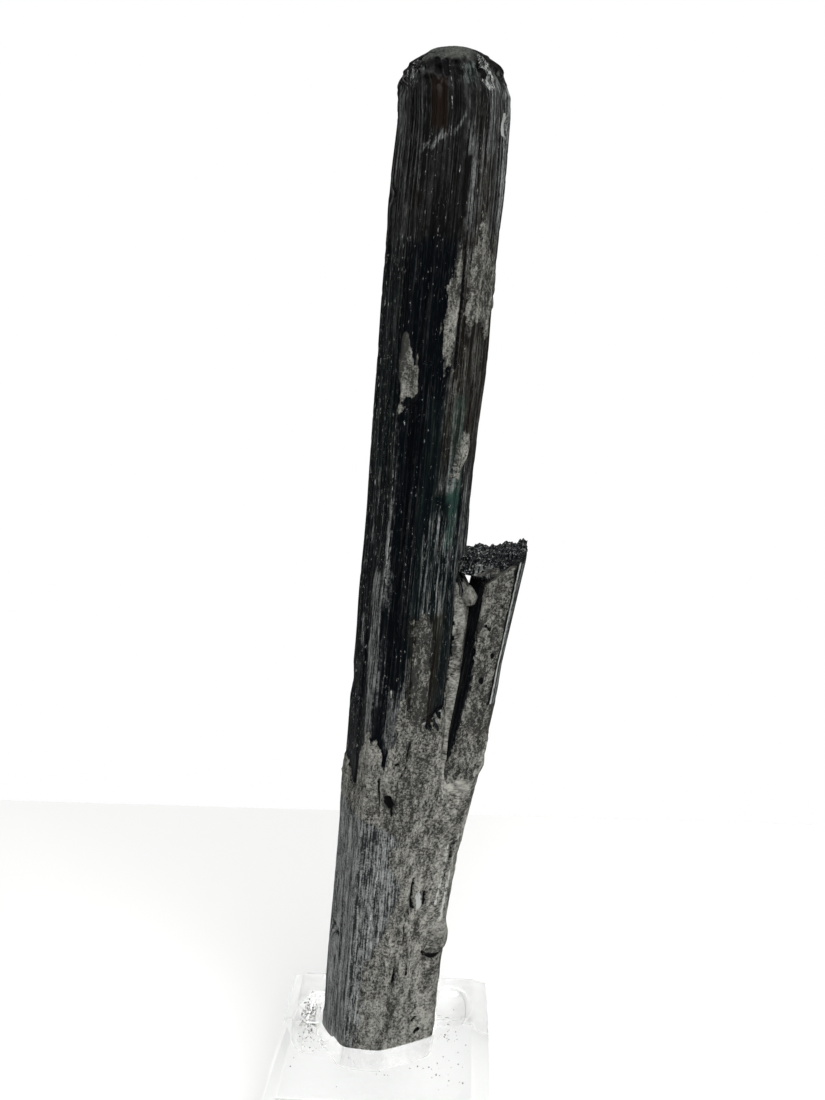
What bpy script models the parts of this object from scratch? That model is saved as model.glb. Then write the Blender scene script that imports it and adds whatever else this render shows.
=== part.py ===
"""A tall striated crystal with a smaller one grown on its flank, its foot set in a clear block.

The origin is the centre of the block's underside. Z is up, X runs to the right and Y away from
the viewer. Lengths are in millimetres until they are scaled by MM, and heights on the crystals
are measured from the block's top face.
"""

import math
import random
from typing import NamedTuple

import bmesh
import bpy
from mathutils import Vector, noise

MM = 0.001

# The clear block and its recess.
BLOCK_SIDE = 38.0
BLOCK_HEIGHT = 25.4
BLOCK_BEVEL = 3.0
RECESS_DEPTH = 8.0
RECESS_GAP = 0.35
RECESS_CLEARANCE = 0.25
RECESS_COLUMNS = 48
# Shallow hollows beside the foot: centre X, Y, half-lengths along X, Y, Z.
LEFT_HOLLOW = (-12.4, 2.4, 4.3, 8.2, 1.5)
RIGHT_HOLLOW = (11.6, 7.8, 4.2, 5.8, 1.3)

# The tall crystal: its axis leans to the right up to the crown, which stands upright.
TALL_BASE_X = -2.4
TALL_Y = 3.4
TALL_LEAN = 0.0895
# How far back the crystals stand near the foot, by height.
FOOT_SHIFT = ((0.0, 1.0), (14.0, 0.0))
TALL_TOP = 161.7
CROWN_START = 150.0
CROWN_LEAN_END = 152.0
# How far the crown leans back over its base: at these heights, to the left.
CROWN_SHIFT = ((155.0, 0.0), (158.0, -0.45), (170.0, -0.45))
FOOT_BOTTOM = RECESS_GAP - RECESS_DEPTH
TALL_COLUMNS = 72
# The faces of its section: the way each one looks in degrees from +X, and its distance.
TALL_FACES = (
    (209.8, 6.82),
    (264.1, 7.40),
    (296.6, 7.86),
    (333.4, 7.62),
    (17.5, 8.00),
    (63.4, 7.70),
    (102.3, 7.70),
    (151.8, 8.15),
)
# How stout it is along its height.
SWELLING = ((-10.0, 1.05), (35.0, 1.05), (95.0, 1.0), (115.0, 1.03), (140.0, 1.04), (152.0, 1.0))

# The smaller crystal: points on its axis as height and X, leaning away as it rises.
SIDE_AXIS = ((-10.0, 4.5), (26.0, 8.05), (40.0, 10.6), (52.0, 13.15), (75.0, 17.75), (90.0, 20.8))
SIDE_Y = 3.4
SIDE_START = 42.0
SIDE_TOP = 88.0
SIDE_BURIED = 47.0
SIDE_BURIED_SHARE = 0.82
SIDE_COLUMNS = 40
SIDE_FACES = (
    (213.0, 3.95),
    (267.7, 4.45),
    (328.0, 4.30),
    (0.0, 3.25),
    (43.0, 4.10),
    (102.2, 5.25),
    (158.5, 4.75),
)
# The broken top reaches over to the tall crystal above this height.
BRIDGE_START = 83.4
BRIDGE_REACH = 3.6
KNOB_CENTRE = (14.7, 1.1, 80.9)
KNOB_RADIUS = 1.35

# The crust around the foot of both, with the height where it ends at each angle in degrees.
CRUST_RISE = 0.3
CRUST_EDGE = ((0, 61.5), (20, 60), (45, 52), (130, 50), (215, 48), (246, 53), (270, 56), (284, 59.3),
              (318, 61.2), (323, 51.5), (334, 51.5), (341, 57), (350, 61.5), (360, 61.5))
# How quickly the crust thins out at its edge: slowly into the cleft between the crystals.
CRUST_EDGE_SPANS = ((0, 4.5), (22, 4.5), (40, 0.8), (316, 0.8), (321, 6.0), (337, 6.0), (360, 4.5))

CORNER_SHARPNESS = 22.0


class Rib(NamedTuple):
    """A long low ridge or groove: angles in degrees, heights and rise in millimetres."""

    angle: float
    half_width: float
    low: float
    high: float
    rise: float


RIB_COUNT = 54
RIB_SEED = 7
RIB_END = 2.5
NAMED_RIBS = (
    Rib(241.5, 4.5, 58.0, 134.0, 0.35),  # the edge of the left flank
    Rib(253.0, 7.0, 60.0, 112.0, -0.30),  # the smooth dark face
    Rib(264.0, 3.5, 88.0, 134.0, 0.22),  # the thin line up that face
    Rib(312.0, 5.0, 64.0, 134.0, 0.30),  # the right ridge
    Rib(303.0, 4.0, 80.0, 116.0, -0.25),
    Rib(291.0, 13.0, 57.0, 78.8, 0.45),  # a plate standing on the front face
    Rib(222.0, 18.0, 52.0, 85.0, 0.25),  # a strip on the left flank
    Rib(284.0, 5.0, 134.0, 156.0, 0.25),  # the light line up the front
    Rib(353.0, 13.0, 50.0, 84.0, 1.15),  # thick crust along the cleft
    Rib(322.0, 22.0, 40.0, 61.6, 0.35),  # the ledge that the crust ends in
)


class Patch(NamedTuple):
    """A raised or sunken spot: centre and half-size in degrees and millimetres, and its rise."""

    angle: float
    height: float
    half_angle: float
    half_height: float
    rise: float


PATCHES = (
    Patch(246.0, 117.5, 9.0, 5.5, 0.30),  # crust on the left of the dark face
    Patch(289.0, 126.0, 8.0, 9.0, 0.30),  # crust right of it
    Patch(329.0, 128.0, 22.0, 9.5, 0.30),  # the largest patch, on the right face
    Patch(324.0, 104.2, 9.0, 3.3, 0.30),
    Patch(340.0, 20.0, 10.0, 3.3, 0.75),  # a knob on the right edge
    Patch(330.0, 17.2, 5.0, 2.0, -0.60),
    Patch(187.0, 19.6, 8.0, 1.8, -0.90),  # a pit on the left edge
    Patch(309.0, 30.0, 4.5, 3.3, -0.80),  # a slot with a small crystal in it
    Patch(184.0, 141.5, 9.0, 1.6, -0.50),  # a notch under the crown
    Patch(272.0, 46.0, 6.5, 2.5, -0.45),  # a window in the crust
    Patch(215.0, 158.0, 20.0, 2.2, -0.50),  # chips on the crown's shoulders
    Patch(312.0, 157.0, 11.0, 2.4, -0.60),
    Patch(345.0, 150.5, 8.0, 1.6, -0.35),
)

UNEVEN = 0.14
UNEVEN_LENGTH = 9.0


def clear_scene():
    for item in list(bpy.data.objects):
        bpy.data.objects.remove(item)


def clamp(value, low=0.0, high=1.0):
    return max(low, min(high, value))


def mix(start, end, share):
    return start + (end - start) * share


def along_points(points, position):
    """The value at a position on a line through (position, value) points."""
    for (start, low), (end, high) in zip(points, points[1:]):
        if position <= end:
            return mix(low, high, clamp((position - start) / (end - start)))
    return points[-1][1]


def turn_between(first, second):
    """The smaller angle between two directions, in degrees."""
    return abs((first - second + 180.0) % 360.0 - 180.0)


def section_radius(faces, angle):
    """The distance from the axis to a section with these faces, its corners a little rounded."""
    total = 0.0
    for direction, distance in faces:
        towards = math.cos(math.radians(angle - direction)) / distance
        total += max(0.0, towards) ** CORNER_SHARPNESS
    return total ** (-1.0 / CORNER_SHARPNESS)


def tall_axis(height):
    leaning = TALL_LEAN * min(height, CROWN_LEAN_END) + along_points(CROWN_SHIFT, height)
    return Vector((TALL_BASE_X + leaning, TALL_Y + along_points(FOOT_SHIFT, height)))


def side_axis(height):
    return Vector((along_points(SIDE_AXIS, height), SIDE_Y + along_points(FOOT_SHIFT, height)))


def crown_share(height):
    """How much of the full section is left at this height of the crown."""
    rise = clamp((height - CROWN_START) / (TALL_TOP - CROWN_START))
    return (1.0 - rise**6) ** 0.6


def unit(angle):
    return Vector((math.cos(math.radians(angle)), math.sin(math.radians(angle))))


def outline(faces, centre, step=5):
    """Points around a section, as seen from above."""
    return [centre + unit(angle) * section_radius(faces, angle) for angle in range(0, 360, step)]


def joint_radii(height, angles):
    """The outline that wraps both crystals at this height, from the tall one's axis."""
    centre = tall_axis(height)
    swell = swelling(height)
    points = [(point - centre) * swell for point in outline(TALL_FACES, centre)]
    points += [point - centre for point in outline(SIDE_FACES, side_axis(height))]
    walls = [(way, max(unit(way).dot(point) for point in points)) for way in range(0, 360, 10)]
    radii = []
    for angle in angles:
        reach = [wall / math.cos(math.radians(angle - way)) for way, wall in walls
                 if turn_between(angle, way) < 80.0]
        radii.append(min(reach) + CRUST_RISE)
    return radii


def swelling(height):
    """The tall crystal is a little stouter towards its foot and below the crown."""
    return along_points(SWELLING, height)


def random_ribs():
    """Long ridges and grooves all around the tall crystal, the same ones on each run."""
    chance = random.Random(RIB_SEED)
    ribs = []
    for number in range(RIB_COUNT):
        low = chance.uniform(-20.0, 130.0)
        rib = Rib(
            angle=(number + chance.random()) * 360.0 / RIB_COUNT,
            half_width=chance.uniform(3.5, 7.0),
            low=low,
            high=low + chance.uniform(35.0, 110.0),
            rise=chance.uniform(-0.26, 0.26),
        )
        ribs.append(rib)
    return ribs


def rib_rise(rib, angle, height):
    across = 1.0 - turn_between(angle, rib.angle) / rib.half_width
    if across <= 0.0:
        return 0.0
    along = clamp(min(height - rib.low, rib.high - height) / RIB_END)
    return rib.rise * min(1.0, 2.5 * across) * along


def patch_rise(patch, angle, height):
    across = turn_between(angle, patch.angle) / patch.half_angle
    along = abs(height - patch.height) / patch.half_height
    return patch.rise * clamp(3.0 * (1.0 - math.hypot(across, along)))


def unevenness(angle, height):
    """A slow swelling and sinking of the surface, stretched along the crystal."""
    around = unit(angle) * 2.4
    place = Vector((around.x, around.y, height / UNEVEN_LENGTH))
    return UNEVEN * noise.noise(place)


def tall_radii(height, angles, ribs):
    """The tall crystal's outline at one height, with the crust that joins it to the other."""
    shrink = crown_share(height) * swelling(height)
    lower = height < max(top for _, top in CRUST_EDGE)
    wrapped = joint_radii(height, angles) if lower else [0.0] * len(angles)
    radii = []
    for angle, wrap in zip(angles, wrapped):
        radius = section_radius(TALL_FACES, angle) * shrink
        crust_top = along_points(CRUST_EDGE, angle)
        crust = clamp((crust_top - height) / along_points(CRUST_EDGE_SPANS, angle))
        relief = sum(rib_rise(rib, angle, height) for rib in ribs) * shrink
        relief += sum(patch_rise(patch, angle, height) for patch in PATCHES)
        relief += unevenness(angle, height)
        held = 0.25 if height < 0.0 else 1.0 - 0.4 * crust
        radii.append(mix(radius, wrap, crust) + relief * held)
    return radii


def tall_heights():
    """Closer together where the crust ends, at the plate's ends and up the crown."""
    heights = [FOOT_BOTTOM, -4.0, 0.0, 4.0, 8.0, 12.0, 15.0, 18.0, 20.5, 23.0, 27.0, 30.5, 33.5, 37.0]
    heights += [41.0, 44.0, 47.0, 49.5, 51.2, 52.4, 54.5, 57.0, 59.4, 60.8, 62.4, 66.0, 70.0, 74.0]
    heights += [77.8, 79.2, 83.5, 88.0, 94.0, 100.0, 104.0, 108.5, 112.5, 117.0, 122.0, 127.0, 132.0]
    heights += [137.0, 141.5, 146.0, 150.5, 153.5, 155.8, 157.4, 158.8, 160.0, 160.8, 161.4, 161.65]
    return heights


def side_radii(height, angles):
    """The smaller crystal's outline: thinner inside the crust, and reaching left at its top."""
    inside = clamp((SIDE_BURIED - height) / 3.0)
    reach = BRIDGE_REACH * clamp((height - BRIDGE_START) / 1.2)
    radii = []
    for angle in angles:
        radius = section_radius(SIDE_FACES, angle) * mix(1.0, SIDE_BURIED_SHARE, inside)
        leftward = clamp(1.6 * math.cos(math.radians(angle - 180.0)) - 0.4)
        rough = 0.25 * noise.noise(Vector((angle * 0.11, height * 0.35, 4.0)))
        radii.append(radius + reach * leftward + rough * (1.0 - inside))
    return radii


def side_heights():
    return [SIDE_START, 48.0, 52.0, 54.5, 58.0, 62.0, 66.0, 70.0, 74.0, 78.0, 81.0, 83.2, 84.8, 86.4]


def broken_lift(angle, share):
    """The height of the side crystal's broken top over its rim, ragged all over."""
    place = Vector((math.cos(math.radians(angle)) * share, math.sin(math.radians(angle)) * share, 0.0))
    return 0.9 * noise.noise(place * 2.6) + 0.8 * noise.noise(place * 7.0 + Vector((3.0, 1.0, 2.0)))


def ring_places(centre, radii, angles, height):
    places = []
    for angle, radius in zip(angles, radii):
        flat = centre + unit(angle) * radius
        places.append(Vector((flat.x, flat.y, height + BLOCK_HEIGHT)) * MM)
    return places


def raise_ring(mesh, ring, edges, places):
    """Extrudes a closed ring and moves each new vertex to its place. Returns the new ring and edges."""
    grown = bmesh.ops.extrude_edge_only(mesh, edges=edges)["geom"]
    raised = {item for item in grown if isinstance(item, bmesh.types.BMVert)}
    raised_edges = [item for item in grown if isinstance(item, bmesh.types.BMEdge) and item.is_boundary]
    above = []
    for vertex, place in zip(ring, places):
        upper = next(edge.other_vert(vertex) for edge in vertex.link_edges if edge.other_vert(vertex) in raised)
        upper.co = place
        above.append(upper)
    return above, raised_edges


def grow_tube(mesh, rings):
    """Extrudes a circle of vertices through the rings of places, and closes both ends."""
    ring = bmesh.ops.create_circle(mesh, cap_ends=False, segments=len(rings[0]), radius=MM)["verts"]
    for vertex, place in zip(ring, rings[0]):
        vertex.co = place
    foot = list(mesh.edges)
    edges = foot
    for places in rings[1:]:
        ring, edges = raise_ring(mesh, ring, edges, places)
    bmesh.ops.edgeloop_fill(mesh, edges=foot)
    bmesh.ops.edgeloop_fill(mesh, edges=edges)
    bmesh.ops.recalc_face_normals(mesh, faces=mesh.faces[:])


def object_of(name, mesh, material=None):
    data = bpy.data.meshes.new(name)
    mesh.to_mesh(data)
    mesh.free()
    made = bpy.data.objects.new(name, data)
    bpy.context.scene.collection.objects.link(made)
    if material:
        data.materials.append(material)
    return made


def helper_of(name, mesh):
    """A cutter or a piece to be joined: it only feeds a Boolean."""
    made = object_of(name, mesh)
    made.hide_render = True
    made.display_type = "WIRE"
    return made


def add_boolean(target, other, operation):
    modifier = target.modifiers.new(other.name, "BOOLEAN")
    modifier.operation = operation
    modifier.object = other


def make_material(name, colour, roughness):
    material = bpy.data.materials.new(name)
    material.use_nodes = True
    shader = material.node_tree.nodes["Principled BSDF"]
    shader.inputs["Base Color"].default_value = (*colour, 1.0)
    shader.inputs["Roughness"].default_value = roughness
    shader.inputs["Metallic"].default_value = 0.0
    return material


def make_side_crystal():
    """The smaller crystal, its top broken off ragged, with the knob that hangs in the cleft."""
    angles = [360.0 * number / SIDE_COLUMNS for number in range(SIDE_COLUMNS)]
    rings = [ring_places(side_axis(height), side_radii(height, angles), angles, height)
             for height in side_heights()]
    rim = side_radii(SIDE_TOP, angles)
    centre = side_axis(SIDE_TOP) - Vector((0.5 * BRIDGE_REACH, 0.0))
    outer = side_axis(SIDE_TOP)
    for share in (0.97, 0.78, 0.5, 0.24):
        places = []
        for angle, radius in zip(angles, rim):
            flat = centre + (outer + unit(angle) * radius - centre) * share
            lift = broken_lift(angle, share) - 1.3 * (0.97 - share)
            places.append(Vector((flat.x, flat.y, SIDE_TOP + lift + BLOCK_HEIGHT)) * MM)
        rings.append(places)
    mesh = bmesh.new()
    grow_tube(mesh, rings)
    return helper_of("side_crystal", mesh)


def make_knob():
    mesh = bmesh.new()
    bmesh.ops.create_icosphere(mesh, subdivisions=2, radius=KNOB_RADIUS * MM)
    centre = Vector(KNOB_CENTRE) + Vector((0.0, 0.0, BLOCK_HEIGHT))
    bmesh.ops.translate(mesh, verts=mesh.verts, vec=centre * MM)
    return helper_of("cleft_knob", mesh)


def make_crystal_cluster():
    """Both crystals and their crust, grown together as one solid."""
    angles = [360.0 * number / TALL_COLUMNS for number in range(TALL_COLUMNS)]
    ribs = random_ribs() + list(NAMED_RIBS)
    rings = [ring_places(tall_axis(height), tall_radii(height, angles, ribs), angles, height)
             for height in tall_heights()]
    mesh = bmesh.new()
    grow_tube(mesh, rings)
    stone = make_material("crystal_stone", (0.030, 0.035, 0.038), 0.35)
    cluster = object_of("crystal_cluster", mesh, stone)
    add_boolean(cluster, make_side_crystal(), "UNION")
    add_boolean(cluster, make_knob(), "UNION")


def make_recess_cutter():
    """A hole that follows the foot with a thin gap, and rises clear of the block's top."""
    angles = [360.0 * number / RECESS_COLUMNS for number in range(RECESS_COLUMNS)]
    rings = []
    for height in (-RECESS_DEPTH, -RECESS_DEPTH / 2.0, 0.0, 2.0):
        radii = [radius + RECESS_GAP + RECESS_CLEARANCE for radius in joint_radii(height, angles)]
        rings.append(ring_places(tall_axis(height), radii, angles, height))
    mesh = bmesh.new()
    grow_tube(mesh, rings)
    return helper_of("recess_cutter", mesh)


def make_hollow_cutter(name, hollow):
    """A flattened ball, its centre at the height of the block's top face."""
    x, y, half_x, half_y, half_z = hollow
    mesh = bmesh.new()
    bmesh.ops.create_uvsphere(mesh, u_segments=24, v_segments=12, radius=MM)
    bmesh.ops.scale(mesh, verts=mesh.verts, vec=(half_x, half_y, half_z))
    bmesh.ops.translate(mesh, verts=mesh.verts, vec=Vector((x, y, BLOCK_HEIGHT)) * MM)
    return helper_of(name, mesh)


def make_clear_block():
    """A square block with its top edges bevelled and a recess for the foot."""
    mesh = bmesh.new()
    bmesh.ops.create_cube(mesh, size=MM)
    bmesh.ops.scale(mesh, verts=mesh.verts, vec=(BLOCK_SIDE, BLOCK_SIDE, BLOCK_HEIGHT))
    bmesh.ops.translate(mesh, verts=mesh.verts, vec=(0.0, 0.0, BLOCK_HEIGHT / 2.0 * MM))
    middle = BLOCK_HEIGHT / 2.0 * MM
    top_edges = [edge for edge in mesh.edges if all(vertex.co.z > middle for vertex in edge.verts)]
    bmesh.ops.bevel(mesh, geom=top_edges, offset=BLOCK_BEVEL * MM, offset_type="OFFSET",
                    segments=1, profile=0.5, affect="EDGES", material=-1)
    acrylic = make_material("clear_acrylic", (0.95, 0.96, 0.95), 0.03)
    acrylic.node_tree.nodes["Principled BSDF"].inputs["Transmission Weight"].default_value = 1.0
    block = object_of("clear_block", mesh, acrylic)
    add_boolean(block, make_recess_cutter(), "DIFFERENCE")
    add_boolean(block, make_hollow_cutter("left_hollow_cutter", LEFT_HOLLOW), "DIFFERENCE")
    add_boolean(block, make_hollow_cutter("right_hollow_cutter", RIGHT_HOLLOW), "DIFFERENCE")


def main():
    clear_scene()
    make_crystal_cluster()
    make_clear_block()


main()
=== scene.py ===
"""The finish of a striated crystal specimen and its clear block, laid out as a Blender add-on.

Shapes are worked out in millimetres and scaled by MM. Heights on the crystals are measured from
the block's top face, and angles in degrees from +X as seen from above.
"""

import math
import random
from typing import NamedTuple

import bmesh
import bpy
import numpy as np
from bpy.props import FloatProperty, FloatVectorProperty, IntProperty, PointerProperty
from mathutils import Matrix, Vector


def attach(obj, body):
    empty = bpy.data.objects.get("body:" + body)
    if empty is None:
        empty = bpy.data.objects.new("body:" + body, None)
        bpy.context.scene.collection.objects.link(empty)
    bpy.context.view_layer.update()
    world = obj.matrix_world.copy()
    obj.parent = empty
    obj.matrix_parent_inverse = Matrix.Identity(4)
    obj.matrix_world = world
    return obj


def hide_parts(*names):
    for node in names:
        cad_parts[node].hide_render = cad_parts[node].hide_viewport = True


bl_info = {
    "name": "Crystal specimen finish",
    "version": (1, 0, 0),
    "blender": (4, 5, 0),
    "location": "3D View > Sidebar > Specimen",
    "description": "Striated crystals with their crust, a clear block, grit and a plain stage",
    "category": "Object",
}

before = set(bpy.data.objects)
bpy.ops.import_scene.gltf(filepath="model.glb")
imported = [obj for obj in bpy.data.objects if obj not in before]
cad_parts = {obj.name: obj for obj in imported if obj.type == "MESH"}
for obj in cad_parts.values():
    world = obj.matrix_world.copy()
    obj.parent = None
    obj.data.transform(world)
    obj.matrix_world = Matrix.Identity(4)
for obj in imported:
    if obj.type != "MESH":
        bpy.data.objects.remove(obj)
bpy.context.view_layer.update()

MM = 0.001

# The clear block and its recess.
BLOCK_SIDE = 38.0
BLOCK_HEIGHT = 25.4
BLOCK_BEVEL = 3.0
EDGE_SOFTENING = 0.18
BLOCK_SHARP_ANGLE = 22.0
RECESS_DEPTH = 8.0
RECESS_GAP = 0.35
RECESS_CLEARANCE = 0.25
RECESS_OVERRUN = 2.0
RECESS_COLUMNS = 160
RECESS_ROWS = 14
# Hollows in its top face: centre X and Y, half-sizes and depth.
LEFT_HOLLOW = (-12.4, 2.4, 4.3, 8.2, 1.5)
RIGHT_HOLLOW = (11.6, 7.8, 4.2, 5.8, 1.3)

# The tall crystal.
TALL_BASE_X = -2.4
TALL_Y = 3.4
TALL_LEAN = 0.0895
FOOT_SHIFT = ((0, 1), (14, 0))
TALL_TOP = 161.7
CROWN_START = 150.0
CROWN_LEAN_END = 152.0
CROWN_SHIFT = ((155, 0), (158, -0.45), (170, -0.45))
FOOT_BOTTOM = RECESS_GAP - RECESS_DEPTH
TALL_COLUMNS = 264
TALL_ROWS = 368
# Heights by share of the rows, and the share of the rows that goes up the crown.
TALL_ROW_MARKS = ((0, FOOT_BOTTOM), (0.03, 0), (0.46, 88), (0.5, 98), (0.72, 140), (0.8, 152.5))
TALL_CROWN_ROWS = 0.2
TALL_FACES = (
    (209.8, 6.82), (264.1, 7.4), (296.6, 7.86), (333.4, 7.62), (17.5, 8), (63.4, 7.7), (102.3, 7.7),
    (151.8, 8.15),
)
# How stout it is along its height.
SWELLING = ((-10, 1.05), (35, 1.05), (95, 1), (115, 1.03), (140, 1.04), (152, 1))

# The smaller crystal.
SIDE_AXIS = ((-10, 4.5), (26, 8.05), (40, 10.6), (52, 13.15), (75, 17.75), (90, 20.8))
SIDE_Y = 3.4
SIDE_START = 42.0
SIDE_TOP = 88.0
SIDE_BURIED = 47.0
SIDE_BURIED_SHARE = 0.82
SIDE_COLUMNS = 240
SIDE_ROWS = 190
SIDE_TOP_ROWS = 44
SIDE_FACES = (
    (213, 3.95), (267.7, 4.45), (328, 4.3), (0, 3.25), (43, 4.1), (102.2, 5.25), (158.5, 4.75),
)
BRIDGE_START = 83.4
BRIDGE_REACH = 3.6
# The break's lower edge: a point on it across the front and up, its slope, and its lowest and highest.
SIDE_BREAK_PLACE = (-2.2, 83.5)
SIDE_BREAK_SLOPE = 0.76
SIDE_BREAK_LIMITS = (82.5, 87.2)
# Keeps the smaller crystal's growth lines unlike the tall one's.
SIDE_GRAIN_SHIFT = 40.0

# The knob, and its lumps: how close together, how high, and their seed.
KNOB_CENTRE = (14.5, 1.1, 80.5)
KNOB_RADIUS = 1.35
KNOB_STRETCH = (0.85, 1.0, 1.2)
KNOB_LUMPS = ((1.4, 0.16, 5), (4.0, 0.06, 6))

# The crust: how far the solid model's joint foot stands out, and where the look's own rise starts.
CRUST_RISE = 0.3
PROUD_CRUST_START = 48.0
CRUST_GRAIN = 0.17
CRACK_DEPTH = 0.3
# How high the joint foot's crust reaches, by angle.
CRUST_EDGE = (
    (0, 61.5), (20, 60), (45, 52), (130, 50), (215, 48), (246, 53), (270, 56), (284, 59.3), (318, 61.2),
    (323, 51.5), (334, 51.5), (341, 57), (350, 61.5), (360, 61.5),
)
# How quickly the crust thins out at its edge: slowly into the cleft between the crystals.
CRUST_EDGE_SPANS = ((0, 4.5), (22, 4.5), (40, 0.8), (316, 0.8), (321, 6), (337, 6), (360, 4.5))

CORNER_SHARPNESS = 22.0
CROWN_FLATNESS = 6
CROWN_SHOULDER = 0.6
UNEVEN = 0.14
NICK_DEPTH = 0.17
BURIED_RELIEF = 0.25
# The joint foot's outline: its top, and how far a wall may turn away and still count.
JOINT_TOP = 64.0
JOINT_FACING = 0.17


class Rib(NamedTuple):
    """A long low ridge or groove: angles in degrees, heights and rise in millimetres."""

    angle: float
    half_width: float
    low: float
    high: float
    rise: float


# The scattered ribs: from what to what their measures run, and how long their ends taper.
RIB_COUNT = 54
RIB_SEED = 7
RIB_STARTS = (-20.0, 130.0)
RIB_LENGTHS = (35.0, 110.0)
RIB_HALF_WIDTHS = (3.5, 7.0)
RIB_RISES = (-0.26, 0.26)
RIB_END = 2.5
NAMED_RIBS = [Rib(*row) for row in (
    (241.5, 4.5, 58, 134, 0.35), (253, 7, 60, 112, -0.3), (264, 3.5, 88, 134, 0.22), (312, 5, 64, 134, 0.3),
    (303, 4, 80, 116, -0.25), (291, 13, 57, 78.8, 0.45), (222, 18, 52, 85, 0.25), (284, 5, 134, 156, 0.25),
    (353, 13, 50, 84, 1.15), (322, 22, 40, 61.6, 0.35),
)]


class Spot(NamedTuple):
    """A raised or sunken spot: centre and half-size in degrees and millimetres, and its rise."""

    angle: float
    height: float
    half_angle: float
    half_height: float
    rise: float


SPOTS = [Spot(*row) for row in (
    (340, 20, 10, 3.3, 0.75), (330, 17.2, 5, 2, -0.6), (187, 19.6, 8, 1.8, -0.9), (309, 30, 4.5, 3.3, -0.8),
    (184, 141.5, 9, 1.6, -0.5), (272, 46, 6.5, 2.5, -0.45), (215, 158, 20, 2.2, -0.5),
    (312, 157, 11, 2.4, -0.6), (345, 150.5, 8, 1.6, -0.35), (2, 55.5, 24, 4.5, -0.45),
    (188, 65, 24, 4, -0.4),
)]


class Blob(NamedTuple):
    """A round-ended stroke on the surface: across the front and up, and half-width, at both ends."""

    across: float
    height: float
    end_across: float
    end_height: float
    half_width: float
    end_half_width: float


FAR_OUTSIDE = -50.0
# Where the crust around the foot ends: across the front of the tall crystal, and up.
CRUST_TOP = (
    (-12.5, 51.5), (-11, 51), (-10, 50.5), (-9.2, 49.5), (-8, 48), (-7, 49.5), (-6.5, 54), (-5.6, 56),
    (-4.2, 59.2), (-3, 58.6), (-2, 56.4), (-1.6, 53), (-1.1, 52), (-0.7, 57), (0.1, 57.6), (0.5, 60),
    (1.8, 61.5), (3.4, 60), (3.8, 60.4), (9.6, 61.6), (12.5, 62),
)
# How far right the lined, uncrusted part of the foot reaches, by height.
LINED_RIGHT = (
    (0, -2.5), (8, -1.4), (19.5, -0.8), (25, 1.5), (29.5, 2.9), (37, 1.2), (41, 1.7), (43, -1.8),
    (44.5, -12), (50, -30),
)

# Patches of crust higher up.
CRUST_BLOBS = [Blob(*row) for row in (
    # Left of the dark face.
    (-3.6, 121.2, -3.2, 118.6, 0.25, 0.95), (-3.1, 117.4, -2.5, 113.8, 1.2, 1.45),
    (-3.4, 112.6, -3.6, 110.4, 0.6, 0.2),
    # Right of it, up to a long crack.
    (3.3, 135.2, 3.1, 129.5, 0.05, 0.45), (2.5, 128, 2.45, 119.5, 1, 1.15),
    (2.7, 119, 2.9, 115.9, 0.7, 0.6),
    # The right face.
    (6.2, 138.2, 6.6, 134.5, 0.6, 1.3), (6.8, 133.5, 8, 129.5, 1.7, 3.6), (8.2, 129, 8.8, 126, 4.1, 3.2),
    (5, 131, 5.2, 123.5, 0.8, 0.9), (6.4, 124.6, 9.8, 124.4, 1.3, 1.4), (9.9, 124, 10.3, 121.5, 1.1, 0.6),
    (6.9, 107.2, 7.1, 104.6, 0.4, 1.4), (6.8, 104, 5.9, 100.6, 1.2, 0.7),
    # The plate left of the lined strip, low on the face.
    (2.7, 77.4, 3, 73, 1.4, 1.6), (3, 73, 3.2, 61, 1.4, 2), (1.5, 67, 0.7, 60, 0.5, 0.9),
    # Along the cleft.
    (12.2, 84.6, 12.3, 82, 0.8, 1.2), (11.8, 81.5, 11.5, 60, 2.3, 2.8),
)]

# Where the thin grey film lies above the foot, which it covers up to here.
FILM_FOOT_TOP = 47.0
FILM_BLOBS = [Blob(*row) for row in (
    (-5.6, 83.5, -4.9, 72, 1.7, 1.5), (-4.8, 72, -4.5, 57, 1.5, 1.1), (-9.6, 91.4, -9.5, 89.2, 0.3, 0.3),
    (-8.5, 101, -8.2, 96, 0.3, 0.3), (-4.1, 110.5, -3.6, 86, 0.3, 0.35), (-3.9, 86, -3.9, 80, 0.8, 0.9),
    (1.3, 71.5, 0.8, 60.5, 0.6, 1.3), (-10.2, 76.5, -9.5, 72, 0.55, 0.6), (-1.2, 65.6, -0.5, 57, 0.6, 1),
    (5, 133, 5.2, 122, 0.9, 0.7), (5.4, 110, 5, 99, 0.4, 0.6), (3.9, 114, 4.1, 112.2, 0.7, 0.7),
    (10.8, 154.6, 11.3, 149, 1.5, 1.3), (11.1, 148, 11.2, 139, 0.8, 0.65), (11.1, 139, 11.3, 124, 0.5, 0.4),
    (9.5, 100, 10.2, 84, 0.5, 0.6), (10, 45, 9.2, 29, 0.8, 0.8),
)]
# How light the film is, by height.
FILM_STRENGTHS = (
    (0, 1), (48, 0.95), (55, 0.6), (72, 0.48), (95, 0.6), (108, 0.3), (123, 0.3), (128, 0.6), (135, 1),
    (170, 1),
)
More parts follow.
